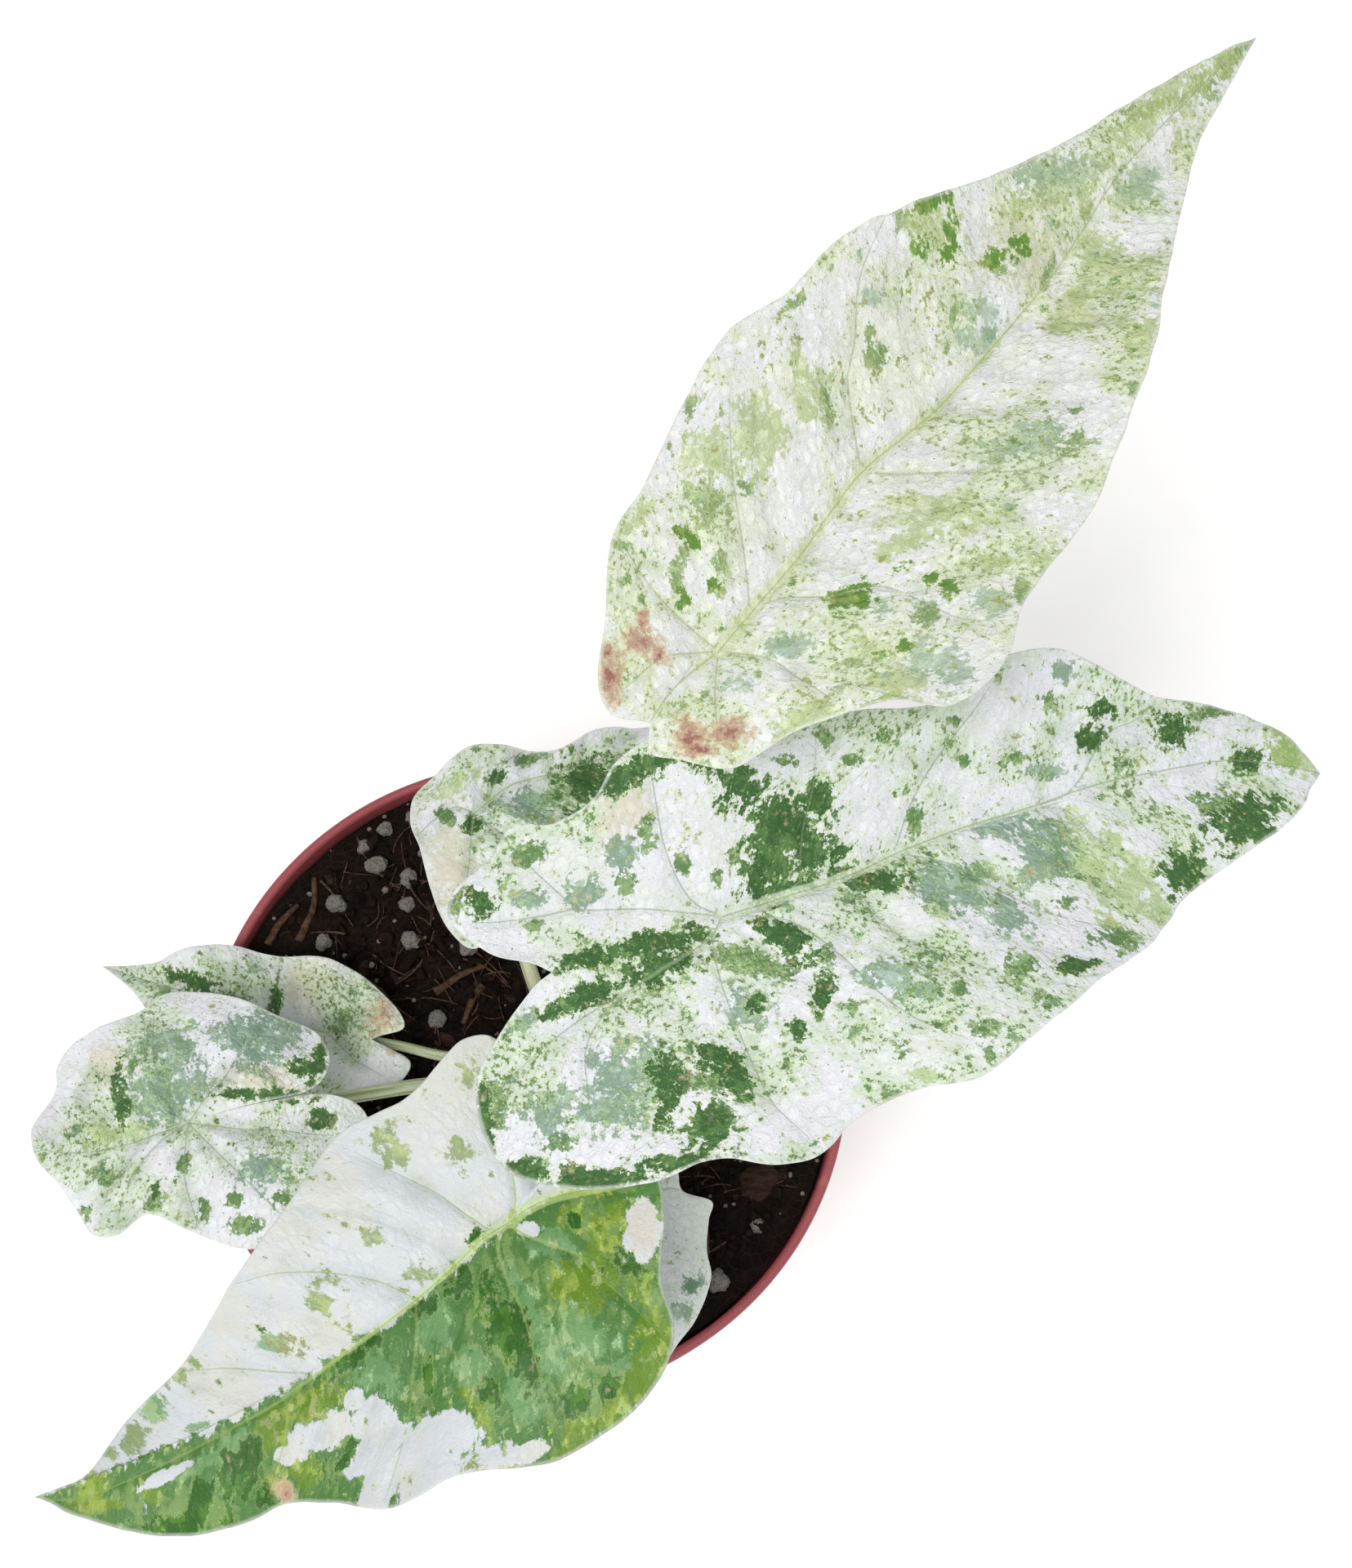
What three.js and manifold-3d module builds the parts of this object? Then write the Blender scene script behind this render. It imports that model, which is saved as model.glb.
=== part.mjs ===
import * as THREE from 'three';
import { mergeVertices } from 'three/addons/utils/BufferGeometryUtils.js';
import Module from 'manifold-3d';

const wasm = await Module();
wasm.setup();

// A young variegated elephant ear plant in a round nursery pot.
// Millimetres, +Z up. The origin is the middle of the pot's flat base.

// Pot: thin moulded plastic, tapered, with a stepped rolled lip
const rimRadius = 60;
const potHeight = 100;
const baseRadius = 42;
const wallThickness = 1.5;
const floorThickness = 2;
const lipHeight = 13;
const lipStep = 1.7;
const lipRoundness = 0.95;
const lipInner = rimRadius - 2 * lipRoundness;
const ledgeTop = potHeight - lipHeight + 2.4;
const ledgeFoot = potHeight - lipHeight - 1;
const drainHoles = { count: 8, radius: 3.5, ring: 31 };
const potSegments = 48;

// Soil, and the clearance that every touching pair keeps
const soilTop = 97.2;
const soilRelief = 1.1;
const clearance = 0.3;

// Crown: the short stem base that all leaf petioles rise from
const crownAt = [7, 0];
const crownRadius = 12.5;
const crownTop = 103;
const crownFoot = 76;
const footDepth = 91;

// Leaf blades
const bladeEdgeThickness = 0.8;
const keelDepth = 1.4;
const keelWidth = 2.5;

const colours = {
  pot: 0xa4525a,
  soil: 0x2a1b14,
  crown: 0x8f9a6c,
  petiole: 0xb4bd98,
  paleBlade: 0xe6eae4,
  greenBlade: 0xa9bf7c,
  perlite: 0xd8d6d0,
  bark: 0x6b4a3a,
  fibre: 0x7c5a40
};

// Each leaf is laid out from its hub, where the petiole meets the blade.
// heading: compass angle of the midrib in plan, anticlockwise from +X.
// length: hub to tip. left and right: the edges in (along, across) from
// the tip round the left lobe to the sinus, and from the sinus back to the tip.
// rise, roll: slopes along and across. droop: fall of the tip. tuck: fall of
// the lobes. fold: trough along the midrib. bow: sideways bend of the midrib.
// wave, waves, phase: edge ruffle. rib, ribGap: puckers between side veins.
// domes: puffed places as (along, across, height, radius).
// foot: place on the crown as (angle, distance). petiole: the way up to the hub.
const leaves = {
  1: {
    hub: [28.4, 29.9, 226],
    heading: 50,
    length: 123.5,
    left: [
      [106, 5.5], [93, 9.5], [77, 15], [62, 20.5], [52, 23.5], [43, 24], [33, 27],
      [21, 25], [9, 21.5], [1, 20], [-8, 13.5], [-14.5, 9], [-16, 5.5]
    ],
    sinus: [-13, 1],
    right: [
      [-16, -1.5], [-14, -5.5], [-11, -11.5], [-3, -15], [3, -19], [8.5, -23.5], [12, -29.5],
      [21, -31.5], [31, -28], [47, -27], [57, -24], [70, -19.5], [79, -15], [93.5, -8.5],
      [104, -4], [113, -2]
    ],
    rise: 0.2,
    roll: 0.1,
    droop: 14,
    tuck: 2,
    fold: 0.16,
    bow: -1,
    wave: 1.8,
    waves: 5,
    phase: 0.1,
    rib: 0.7,
    ribGap: 16,
    domes: [],
    foot: [70, 4],
    footRadius: 2.2,
    petioleRadius: 1.7,
    petiole: [[14, 14, 130], [22, 28, 175], [26, 32.5, 205]],
    rays: 60
  },
  2: {
    hub: [30.6, 1, 196],
    heading: 16.7,
    length: 99.3,
    left: [
      [95, 7.7], [85.5, 14], [74, 18], [70, 21], [61, 25.5], [54, 26], [48, 25], [40, 22],
      [29, 24], [17, 24.5], [7, 25], [-3, 26], [-9.5, 24], [-13.5, 20.5], [-20, 19],
      [-26, 20.5], [-30, 17], [-36, 14], [-38, 10.5], [-34, 3.5], [-28, 0]
    ],
    sinus: [-26, -1.7],
    right: [
      [-28.5, -2.7], [-34, -6.5], [-40, -12.5], [-41.5, -19.5], [-39, -26.5], [-31.5, -31.5],
      [-21.5, -34], [-11, -33.5], [-3, -36.5], [3.5, -36.5], [10, -33], [20, -31.5],
      [28.5, -32.5], [38, -29], [52.5, -23], [62, -19.5], [70, -14], [84, -9], [91, -6.5]
    ],
    rise: 0,
    roll: 0.16,
    droop: 16,
    tuck: 2,
    fold: 0.12,
    bow: 3.8,
    wave: 2.2,
    waves: 6,
    phase: 0.3,
    rib: 0.7,
    ribGap: 17,
    domes: [],
    foot: [-10, 4],
    footRadius: 2.3,
    petioleRadius: 1.8,
    petiole: [[15, 0, 122], [22, 1.5, 160], [28, 2, 186]],
    rays: 64
  },
  3: {
    hub: [-0.1, -37.8, 160],
    heading: -151.2,
    length: 83,
    left: [
      [77, 7], [66, 16], [55, 19.5], [49, 20], [42.5, 23.5], [35, 28.5], [23.5, 29.5],
      [10.5, 34.5], [-4, 33.5], [-11, 30], [-14.5, 25.5], [-15.5, 19.5], [-20, 12],
      [-22.5, 6.5], [-22, -1], [-16, -5.5]
    ],
    sinus: [-6.5, -4],
    right: [
      [-8, -8.5], [-11.5, -18], [-10, -25.5], [-6, -27], [5, -24], [17.5, -24.5], [29, -18.5],
      [41, -12.5], [53, -6.5], [65, -3.5], [75, 1.5], [79.5, 1.5]
    ],
    rise: -0.1,
    roll: -0.06,
    droop: 12,
    tuck: 2,
    fold: 0.12,
    bow: 5,
    wave: 2.4,
    waves: 5,
    phase: 0.2,
    rib: 0.8,
    ribGap: 15,
    domes: [[-2, 20, 3, 12]],
    foot: [-110, 4],
    footRadius: 2.2,
    petioleRadius: 1.6,
    petiole: [[5, -10, 114], [2.5, -24, 140], [0.5, -35, 155]],
    rays: 60
  },
  4: {
    hub: [-55.8, -17.4, 131],
    heading: -174.2,
    length: 27.7,
    left: [
      [26.5, 3], [23, 7], [20, 12], [17.5, 16], [13, 17], [7, 14.5], [1, 17.5],
      [-9.5, 21.5], [-17, 19], [-25, 11], [-30, 5], [-29, 0], [-25, -2.3]
    ],
    sinus: [-7, -1.2],
    right: [
      [-21.5, -3.8], [-24, -8], [-22, -14], [-15, -17.5], [-5.5, -22], [4.5, -24], [8.5, -21], [16.5, -18.5],
      [21.5, -16.5], [24, -13.5], [24, -10], [28, -3.5]
    ],
    rise: -0.1,
    roll: 0,
    droop: 7,
    tuck: 1,
    fold: -0.14,
    bow: 1,
    wave: 1.6,
    waves: 7,
    phase: 0.2,
    rib: 1.3,
    ribGap: 10,
    domes: [[-9, -11, 4.5, 8], [6, -10, 2.5, 6], [-10, 9, 2.5, 8]],
    foot: [-150, 8.6],
    footRadius: 1.7,
    petioleRadius: 1.2,
    petiole: [[-8, -5, 106], [-17.5, -6.8, 112.5], [-30, -10.2, 118.5], [-44, -14, 123.5], [-52, -16.3, 126]],
    rays: 44
  },
  5: {
    hub: [-35.8, 3.3, 110],
    heading: 162.4,
    length: 44.9,
    left: [
      [37.5, 3], [32.5, 6], [25.5, 10.5], [14, 13.5], [3, 13.5], [-7, 9.5], [-14.5, 6],
      [-16, 0.5]
    ],
    sinus: [-8, -1.2],
    right: [
      [-13, -5], [-5, -11], [4, -13], [13.5, -11], [23, -10.5], [32.5, -6], [35.5, -3.5]
    ],
    rise: -0.05,
    roll: 0,
    droop: 4,
    tuck: 1,
    fold: -0.1,
    bow: 0,
    wave: 1.4,
    waves: 6,
    phase: 0,
    rib: 1.1,
    ribGap: 9,
    domes: [],
    foot: [165, 8.6],
    footRadius: 1.5,
    petioleRadius: 0.9,
    petiole: [[-7, 1.4, 101.5], [-14, 0.5, 103], [-23, 2, 105], [-32, 3, 107.5]],
    rays: 44
  },
  6: {
    hub: [-9.9, 40.9, 124],
    heading: 28.5,
    length: 44,
    left: [
      [36.5, 2.5], [28.5, 4.5], [19.5, 4.5], [15.5, 6.5], [10.5, 9.5], [4, 11.5], [-3, 10],
      [-8, 8], [-11, 3]
    ],
    sinus: [-11.5, -1.5],
    right: [
      [-13, -8.5], [-13.5, -16], [-11.5, -21.5], [-6, -22], [5, -19],
      [16, -19], [27.5, -15], [38, -7.5]
    ],
    rise: -0.02,
    roll: 0.1,
    droop: 6,
    tuck: 1,
    fold: -0.14,
    bow: 0,
    wave: 1.6,
    waves: 6,
    phase: 0.4,
    rib: 1.3,
    ribGap: 11,
    domes: [[2, -10, 2.5, 8]],
    foot: [110, 8.6],
    footRadius: 1.8,
    petioleRadius: 1.3,
    petiole: [[3, 10, 102.5], [0.5, 16, 106.5], [-4, 28, 113], [-8.5, 37.5, 119]],
    rays: 44
  },
  7: {
    hub: [21.5, -28.9, 126],
    heading: -93.2,
    length: 30.7,
    left: [
      [29, 3.5], [23, 7], [18.5, 10], [12, 12], [8, 11], [2.5, 11], [-0.5, 11.5], [-2, 6],
      [-5, 5], [-6.5, 2]
    ],
    sinus: [-2.7, -0.2],
    right: [
      [-5, -4], [-4, -7.5], [0.5, -10], [7.5, -11], [15, -11], [22, -8.5], [27.5, -5]
    ],
    rise: -0.18,
    roll: 0,
    droop: 6,
    tuck: 1,
    fold: -0.12,
    bow: 0,
    wave: 1.4,
    waves: 5,
    phase: 0,
    rib: 1,
    ribGap: 9,
    domes: [],
    foot: [-55, 8.6],
    footRadius: 1.7,
    petioleRadius: 1.2,
    petiole: [[12.7, -9, 102.5], [16, -17, 111.5], [20, -25.5, 120.5]],
    rays: 44
  }
};
const bladeRings = 6;
const petioleSides = 8;
const petioleSteps = 12;

// Loose pieces on the soil: perlite as (x, y, radius), bark as (x, y, length, turn),
// fibres as the points they pass through
const perliteGrains = [
  [-29.5, 38.8, 2.3], [-28.3, 46, 1.8], [-32.2, 42.6, 1.6], [-23, 48.5, 2], [-37, 31, 2.2],
  [-23.5, 31.2, 1.8], [-23.5, 36.5, 2.1], [-39, 23.5, 1.9], [-22.5, 24, 2.2], [-51, 13, 1.8],
  [-17, 9, 2], [-11.5, 23, 2.2], [35.5, -39, 2.4], [43, -29, 1.8], [14, 44, 2.2], [38, 26, 2.4]
];
const barkChips = [
  [43.5, -21, 9, 35], [47, 4, 8, 100], [8, -44, 9, 160], [-28, -38, 8, 60], [-2, 51, 7, 20]
];
const fibres = [
  [[-49.5, 23], [-47.5, 27], [-44.3, 31]],
  [[-43.5, 23.5], [-41.2, 31], [-41.5, 36.5]],
  [[-17.5, 14], [-12.5, 17.5], [-8, 19.5]],
  [[-8.6, 15.5], [-10.5, 12.5], [-12, 8]],
  [[31, -43], [33.5, -33], [32, -24]]
];
const fibreRadius = 0.8;
const grainSeed = 17;

// Seeded random numbers from 0 to 1
function seededRandom(seed) {
  let state = seed;
  return () => {
    state = (state + 0x6d2b79f5) | 0;
    let mixed = Math.imul(state ^ (state >>> 15), 1 | state);
    mixed = (mixed + Math.imul(mixed ^ (mixed >>> 7), 61 | mixed)) ^ mixed;
    return ((mixed ^ (mixed >>> 14)) >>> 0) / 4294967296;
  };
}

// Closed geometry to a solid and back
function toSolid(geometry) {
  const bare = geometry.clone();
  bare.deleteAttribute('normal');
  bare.deleteAttribute('uv');
  const merged = mergeVertices(bare, 1e-4);
  return new wasm.Manifold(new wasm.Mesh({
    numProp: 3,
    vertProperties: new Float32Array(merged.attributes.position.array),
    triVerts: new Uint32Array(merged.index.array)
  }));
}

function toGeometry(solid) {
  const mesh = solid.getMesh();
  return indexedGeometry(Array.from(mesh.vertProperties), Array.from(mesh.triVerts));
}

function indexedGeometry(positions, triangles) {
  const geometry = new THREE.BufferGeometry();
  geometry.setAttribute('position', new THREE.Float32BufferAttribute(positions, 3));
  geometry.setIndex(triangles);
  geometry.computeVertexNormals();
  return geometry;
}

function addMesh(group, name, geometry, colour, roughness) {
  const material = new THREE.MeshStandardMaterial({ color: colour, roughness, metalness: 0 });
  const mesh = new THREE.Mesh(geometry, material);
  mesh.name = name;
  group.add(mesh);
}

// A turned solid about +Z from (radius, height) pairs
function turned(profile, segments) {
  const points = profile.map(([radius, height]) => new THREE.Vector2(radius, height));
  const geometry = new THREE.LatheGeometry(points, segments);
  geometry.rotateX(Math.PI / 2);
  return geometry;
}

// Inside of the tapered wall below the lip
function innerRadiusAt(height) {
  const spread = rimRadius - lipStep - baseRadius;
  return baseRadius - wallThickness + spread * (height / potHeight);
}

function potSolid() {
  const shoulder = potHeight - lipHeight;
  const outerShoulder = innerRadiusAt(shoulder) + wallThickness;
  const profile = [
    [0, 0],
    [baseRadius - 1.2, 0],
    [baseRadius, 1.2],
    [outerShoulder, shoulder - 0.6],
    [rimRadius - 1.1, shoulder],
    [rimRadius - 0.6, shoulder + 0.8]
  ];
  for (let step = 0; step <= 4; step++) {
    const angle = (step / 4) * Math.PI;
    profile.push([
      rimRadius - lipRoundness + lipRoundness * Math.cos(angle),
      potHeight - lipRoundness + lipRoundness * Math.sin(angle)
    ]);
  }
  profile.push([lipInner - 0.4, ledgeTop]);
  profile.push([innerRadiusAt(ledgeFoot), ledgeFoot]);
  profile.push([innerRadiusAt(floorThickness) - 0.1, floorThickness + 0.8]);
  profile.push([innerRadiusAt(floorThickness) - 1, floorThickness]);
  profile.push([0, floorThickness]);
  let solid = toSolid(turned(profile, potSegments));
  for (let hole = 0; hole < drainHoles.count; hole++) {
    const angle = ((hole + 0.5) / drainHoles.count) * 2 * Math.PI;
    const drill = new THREE.CylinderGeometry(drainHoles.radius, drainHoles.radius, 10, 12);
    drill.rotateX(Math.PI / 2);
    drill.translate(drainHoles.ring * Math.cos(angle), drainHoles.ring * Math.sin(angle), 1);
    solid = solid.subtract(toSolid(drill));
  }
  return solid;
}

// Gentle lumps of the soil surface, from a few crossing waves
function soilHeight(x, y) {
  const lumps = Math.sin(0.21 * x + 1.3) * Math.cos(0.17 * y - 0.6)
    + 0.6 * Math.sin(0.43 * x - 0.31 * y + 2.1)
    + 0.4 * Math.cos(0.62 * y + 0.37 * x);
  return soilTop + (soilRelief * lumps) / 2;
}

function soilSolid() {
  const topRings = 8;
  const outer = lipInner - 0.4 - 1.5 * clearance;
  const floor = floorThickness + clearance;
  const skirt = [
    [outer, soilTop - 0.5],
    [outer - 0.1, ledgeTop + clearance],
    [innerRadiusAt(ledgeFoot) - 1.5 * clearance, ledgeFoot - 0.2],
    [innerRadiusAt(floorThickness) - 1.4, floor]
  ];
  const rings = topRings + skirt.length - 1;
  const positions = [0, 0, soilHeight(0, 0)];
  const triangles = [];
  for (let ring = 1; ring <= rings; ring++) {
    for (let seg = 0; seg < potSegments; seg++) {
      const angle = (seg / potSegments) * 2 * Math.PI;
      const [radius, edgeHeight] = skirt[Math.max(ring - topRings, 0)];
      const reach = ring < topRings ? outer * ring / topRings : radius;
      const x = reach * Math.cos(angle);
      const y = reach * Math.sin(angle);
      positions.push(x, y, ring < topRings ? soilHeight(x, y) : edgeHeight);
    }
  }
  positions.push(0, 0, floor);
  const bottom = positions.length / 3 - 1;
  const at = (ring, seg) => 1 + (ring - 1) * potSegments + (seg % potSegments);
  for (let seg = 0; seg < potSegments; seg++) {
    triangles.push(0, at(1, seg), at(1, seg + 1));
    for (let ring = 1; ring < rings; ring++) {
      triangles.push(at(ring, seg), at(ring + 1, seg), at(ring + 1, seg + 1));
      triangles.push(at(ring, seg), at(ring + 1, seg + 1), at(ring, seg + 1));
    }
    triangles.push(bottom, at(rings, seg + 1), at(rings, seg));
  }
  return toSolid(indexedGeometry(positions, triangles));
}

function crownSolid(grow) {
  const profile = [
    [0, crownFoot - grow],
    [0.6 * crownRadius + grow, crownFoot + 1 - grow],
    [0.9 * crownRadius + grow, crownFoot + 7],
    [crownRadius + grow, crownFoot + 14],
    [0.97 * crownRadius + grow, crownTop - 6],
    [0.82 * crownRadius + grow, crownTop - 2 + grow],
    [0.5 * crownRadius, crownTop - 0.4 + grow],
    [0, crownTop + grow]
  ];
  const geometry = turned(profile, 20);
  geometry.translate(crownAt[0], crownAt[1], 0);
  return toSolid(geometry);
}

// A round rod along a smooth path, its radius given by a function of 0 to 1
function rodGeometry(points, radiusAt, sides, steps) {
  const curve = new THREE.CatmullRomCurve3(
    points.map(([x, y, z]) => new THREE.Vector3(x, y, z)), false, 'centripetal'
  );
  const frames = curve.computeFrenetFrames(steps, false);
  const positions = [];
  const triangles = [];
  for (let step = 0; step <= steps; step++) {
    const centre = curve.getPointAt(step / steps);
    const radius = radiusAt(step / steps);
    for (let side = 0; side < sides; side++) {
      const angle = (side / sides) * 2 * Math.PI;
      const spoke = frames.normals[step].clone().multiplyScalar(radius * Math.cos(angle));
      spoke.addScaledVector(frames.binormals[step], radius * Math.sin(angle));
      positions.push(centre.x + spoke.x, centre.y + spoke.y, centre.z + spoke.z);
    }
  }
  const at = (step, side) => step * sides + (side % sides);
  for (let side = 0; side < sides; side++) {
    for (let step = 0; step < steps; step++) {
      triangles.push(at(step, side), at(step, side + 1), at(step + 1, side + 1));
      triangles.push(at(step, side), at(step + 1, side + 1), at(step + 1, side));
    }
  }
  for (let side = 1; side < sides - 1; side++) {
    triangles.push(at(0, 0), at(0, side + 1), at(0, side));
    triangles.push(at(steps, 0), at(steps, side), at(steps, side + 1));
  }
  return indexedGeometry(positions, triangles);
}

function petiolePath(leaf, sink) {
  const angle = THREE.MathUtils.degToRad(leaf.foot[0]);
  const foot = [
    crownAt[0] + leaf.foot[1] * Math.cos(angle),
    crownAt[1] + leaf.foot[1] * Math.sin(angle)
  ];
  const [x, y, z] = leaf.hub;
  const collar = [foot[0], foot[1], crownTop - 4];
  return [[...foot, footDepth - sink], collar, ...leaf.petiole, [x, y, z - 1]];
}

function petioleSolid(leaf, grow) {
  const taper = (along) => (
    leaf.petioleRadius + (leaf.footRadius - leaf.petioleRadius) * (1 - along) ** 2 + grow
  );
  return toSolid(rodGeometry(petiolePath(leaf, grow), taper, petioleSides, petioleSteps));
}

// The blade's edge as evenly spaced points, anticlockwise from the tip
function edgePoints(leaf) {
  const tip = [leaf.length, 0];
  const spans = [[tip, ...leaf.left, leaf.sinus], [leaf.sinus, ...leaf.right, tip]];
  return spans.flatMap((span) => {
    const curve = new THREE.CatmullRomCurve3(
      span.map(([along, across]) => new THREE.Vector3(along, across, 0)), false, 'centripetal'
    );
    curve.arcLengthDivisions = 400;
    return curve.getSpacedPoints(leaf.rays / 2).slice(0, -1);
  });
}

function fromMidrib(leaf, along, across) {
  const part = THREE.MathUtils.clamp(along / leaf.length, 0, 1);
  return across - leaf.bow * 4 * part * (1 - part);
}

// Height of the blade's upper face over its hub. outward runs from 0 at the
// hub to 1 at the edge, and around from 0 to 1 along the edge from the tip.
function bladeHeight(leaf, along, across, outward, around) {
  const ahead = Math.max(along / leaf.length, 0);
  const behind = Math.max(-along / leaf.length, 0);
  const side = Math.abs(fromMidrib(leaf, along, across));
  let height = leaf.rise * along + leaf.roll * across;
  height -= leaf.droop * ahead ** 2 + 4 * leaf.tuck * behind ** 2;
  height += leaf.fold * (Math.hypot(side, 3) - 3);
  height += leaf.wave * outward ** 3 * Math.sin(2 * Math.PI * (leaf.waves * around + leaf.phase));
  const pucker = Math.abs(Math.sin(Math.PI * (along - 0.7 * side) / leaf.ribGap));
  height += leaf.rib * pucker * Math.min(side / 6, 1) * (1 - outward ** 4);
  for (const [x, y, lift, radius] of leaf.domes) {
    height += lift * Math.exp(-((along - x) ** 2 + (across - y) ** 2) / radius ** 2);
  }
  return height;
}

function bladeThickness(leaf, along, across) {
  const side = fromMidrib(leaf, along, across);
  const run = along > 0 ? 1 - along / leaf.length : Math.exp(-((along / 3) ** 2));
  return bladeEdgeThickness + keelDepth * run * Math.exp(-((side / keelWidth) ** 2));
}

function bladeGeometry(leaf) {
  const edge = edgePoints(leaf);
  const rays = leaf.rays;
  const turn = THREE.MathUtils.degToRad(leaf.heading);
  const perFace = 1 + bladeRings * rays;
  const positions = [];
  const triangles = [];
  const put = (along, across, height) => positions.push(
    leaf.hub[0] + along * Math.cos(turn) - across * Math.sin(turn),
    leaf.hub[1] + along * Math.sin(turn) + across * Math.cos(turn),
    leaf.hub[2] + height
  );
  for (const face of [0, 1]) {
    put(0, 0, -face * bladeThickness(leaf, 0, 0));
    for (let ring = 1; ring <= bladeRings; ring++) {
      const outward = ring / bladeRings;
      edge.forEach((point, ray) => {
        const along = point.x * outward;
        const across = point.y * outward;
        const height = bladeHeight(leaf, along, across, outward, ray / rays);
        put(along, across, height - face * bladeThickness(leaf, along, across));
      });
    }
  }
  const at = (face, ring, ray) => face * perFace + 1 + (ring - 1) * rays + (ray % rays);
  const both = (a, b, c) => {
    triangles.push(a, b, c);
    triangles.push(perFace + a, perFace + c, perFace + b);
  };
  for (let ray = 0; ray < rays; ray++) {
    both(0, at(0, 1, ray), at(0, 1, ray + 1));
    for (let ring = 1; ring < bladeRings; ring++) {
      both(at(0, ring, ray), at(0, ring + 1, ray), at(0, ring + 1, ray + 1));
      both(at(0, ring, ray), at(0, ring + 1, ray + 1), at(0, ring, ray + 1));
    }
    const [here, next] = [at(0, bladeRings, ray), at(0, bladeRings, ray + 1)];
    triangles.push(here, perFace + here, perFace + next);
    triangles.push(here, perFace + next, next);
  }
  return indexedGeometry(positions, triangles);
}

// A lump with seeded facets; size is (x, y, z) half-widths
function lumpGeometry(size, turn, place, detail, seed, grow) {
  const random = seededRandom(seed);
  const geometry = new THREE.IcosahedronGeometry(1, detail);
  geometry.deleteAttribute('normal');
  geometry.deleteAttribute('uv');
  const lump = mergeVertices(geometry, 1e-4);
  const points = lump.attributes.position;
  for (let i = 0; i < points.count; i++) {
    const swell = 0.84 + 0.3 * random();
    points.setXYZ(
      i,
      points.getX(i) * (size[0] * swell + grow),
      points.getY(i) * (size[1] * swell + grow),
      points.getZ(i) * (size[2] * swell + grow)
    );
  }
  lump.rotateZ(THREE.MathUtils.degToRad(turn));
  lump.translate(...place);
  return lump;
}

function loosePieces() {
  const pieces = [];
  perliteGrains.forEach(([x, y, radius], i) => {
    const place = [x, y, soilHeight(x, y) + 0.3 * radius];
    const size = [radius, radius * 0.9, radius * 0.85];
    const make = (grow) => toSolid(lumpGeometry(size, 40 * i, place, 0, grainSeed + i, grow));
    pieces.push({ name: `perlite_${i + 1}`, make, colour: colours.perlite });
  });
  barkChips.forEach(([x, y, length, turn], i) => {
    const place = [x, y, soilHeight(x, y) + 0.6];
    const size = [length / 2, length / 3.4, 1.7];
    const make = (grow) => toSolid(lumpGeometry(size, turn, place, 1, 3 * grainSeed + i, grow));
    pieces.push({ name: `bark_${i + 1}`, make, colour: colours.bark });
  });
  fibres.forEach((route, i) => {
    const points = route.map(([x, y]) => [x, y, soilHeight(x, y) + 0.55 * fibreRadius]);
    const taper = (grow) => (along) => fibreRadius * (1 - 0.4 * along) + grow;
    const make = (grow) => toSolid(rodGeometry(points, taper(grow), 6, 8));
    pieces.push({ name: `fibre_${i + 1}`, make, colour: colours.fibre });
  });
  return pieces;
}

const plant = new THREE.Group();
addMesh(plant, 'pot', toGeometry(potSolid()), colours.pot, 0.55);

let soil = soilSolid().subtract(crownSolid(clearance));
for (const piece of loosePieces()) {
  soil = soil.subtract(piece.make(clearance));
  addMesh(plant, piece.name, toGeometry(piece.make(0)), piece.colour, 0.9);
}
addMesh(plant, 'soil', toGeometry(soil), colours.soil, 0.95);

let crown = crownSolid(0);
for (const [number, leaf] of Object.entries(leaves)) {
  const blade = bladeGeometry(leaf);
  let petiole = petioleSolid(leaf, 0);
  for (const lift of [-clearance, 0.4, 1.1, 1.8]) {
    petiole = petiole.subtract(toSolid(blade).translate([0, 0, lift]));
  }
  crown = crown.subtract(petioleSolid(leaf, clearance));
  const bladeColour = number === '3' ? colours.greenBlade : colours.paleBlade;
  addMesh(plant, `blade_${number}`, blade, bladeColour, 0.5);
  addMesh(plant, `petiole_${number}`, toGeometry(petiole), colours.petiole, 0.5);
}
addMesh(plant, 'crown', toGeometry(crown), colours.crown, 0.6);

export default plant;
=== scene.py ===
import math
import random
import bmesh
import bpy
import numpy as np
from mathutils import Matrix, Vector, noise


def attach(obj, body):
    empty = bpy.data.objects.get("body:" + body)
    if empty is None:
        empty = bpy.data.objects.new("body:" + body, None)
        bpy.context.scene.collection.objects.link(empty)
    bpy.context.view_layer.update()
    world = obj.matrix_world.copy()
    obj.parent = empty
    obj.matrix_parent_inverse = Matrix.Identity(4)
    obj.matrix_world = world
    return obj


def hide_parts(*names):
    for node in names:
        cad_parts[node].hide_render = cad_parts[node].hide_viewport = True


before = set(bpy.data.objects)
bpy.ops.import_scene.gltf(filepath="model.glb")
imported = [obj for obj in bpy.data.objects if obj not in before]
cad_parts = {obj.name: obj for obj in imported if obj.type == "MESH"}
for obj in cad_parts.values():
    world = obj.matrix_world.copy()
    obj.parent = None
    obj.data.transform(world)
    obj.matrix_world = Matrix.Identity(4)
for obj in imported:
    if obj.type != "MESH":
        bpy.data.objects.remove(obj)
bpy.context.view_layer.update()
mm = 0.001  # lengths below are in millimetres, as in the part's source
print("frame loaded:", len(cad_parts), "nodes")


def toLinear(hexColour, alpha=1.0):
    parts = [int(hexColour[i:i + 2], 16) / 255 for i in (1, 3, 5)]
    return [p / 12.92 if p <= 0.04045 else ((p + 0.055) / 1.055) ** 2.4 for p in parts] + [alpha]


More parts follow.
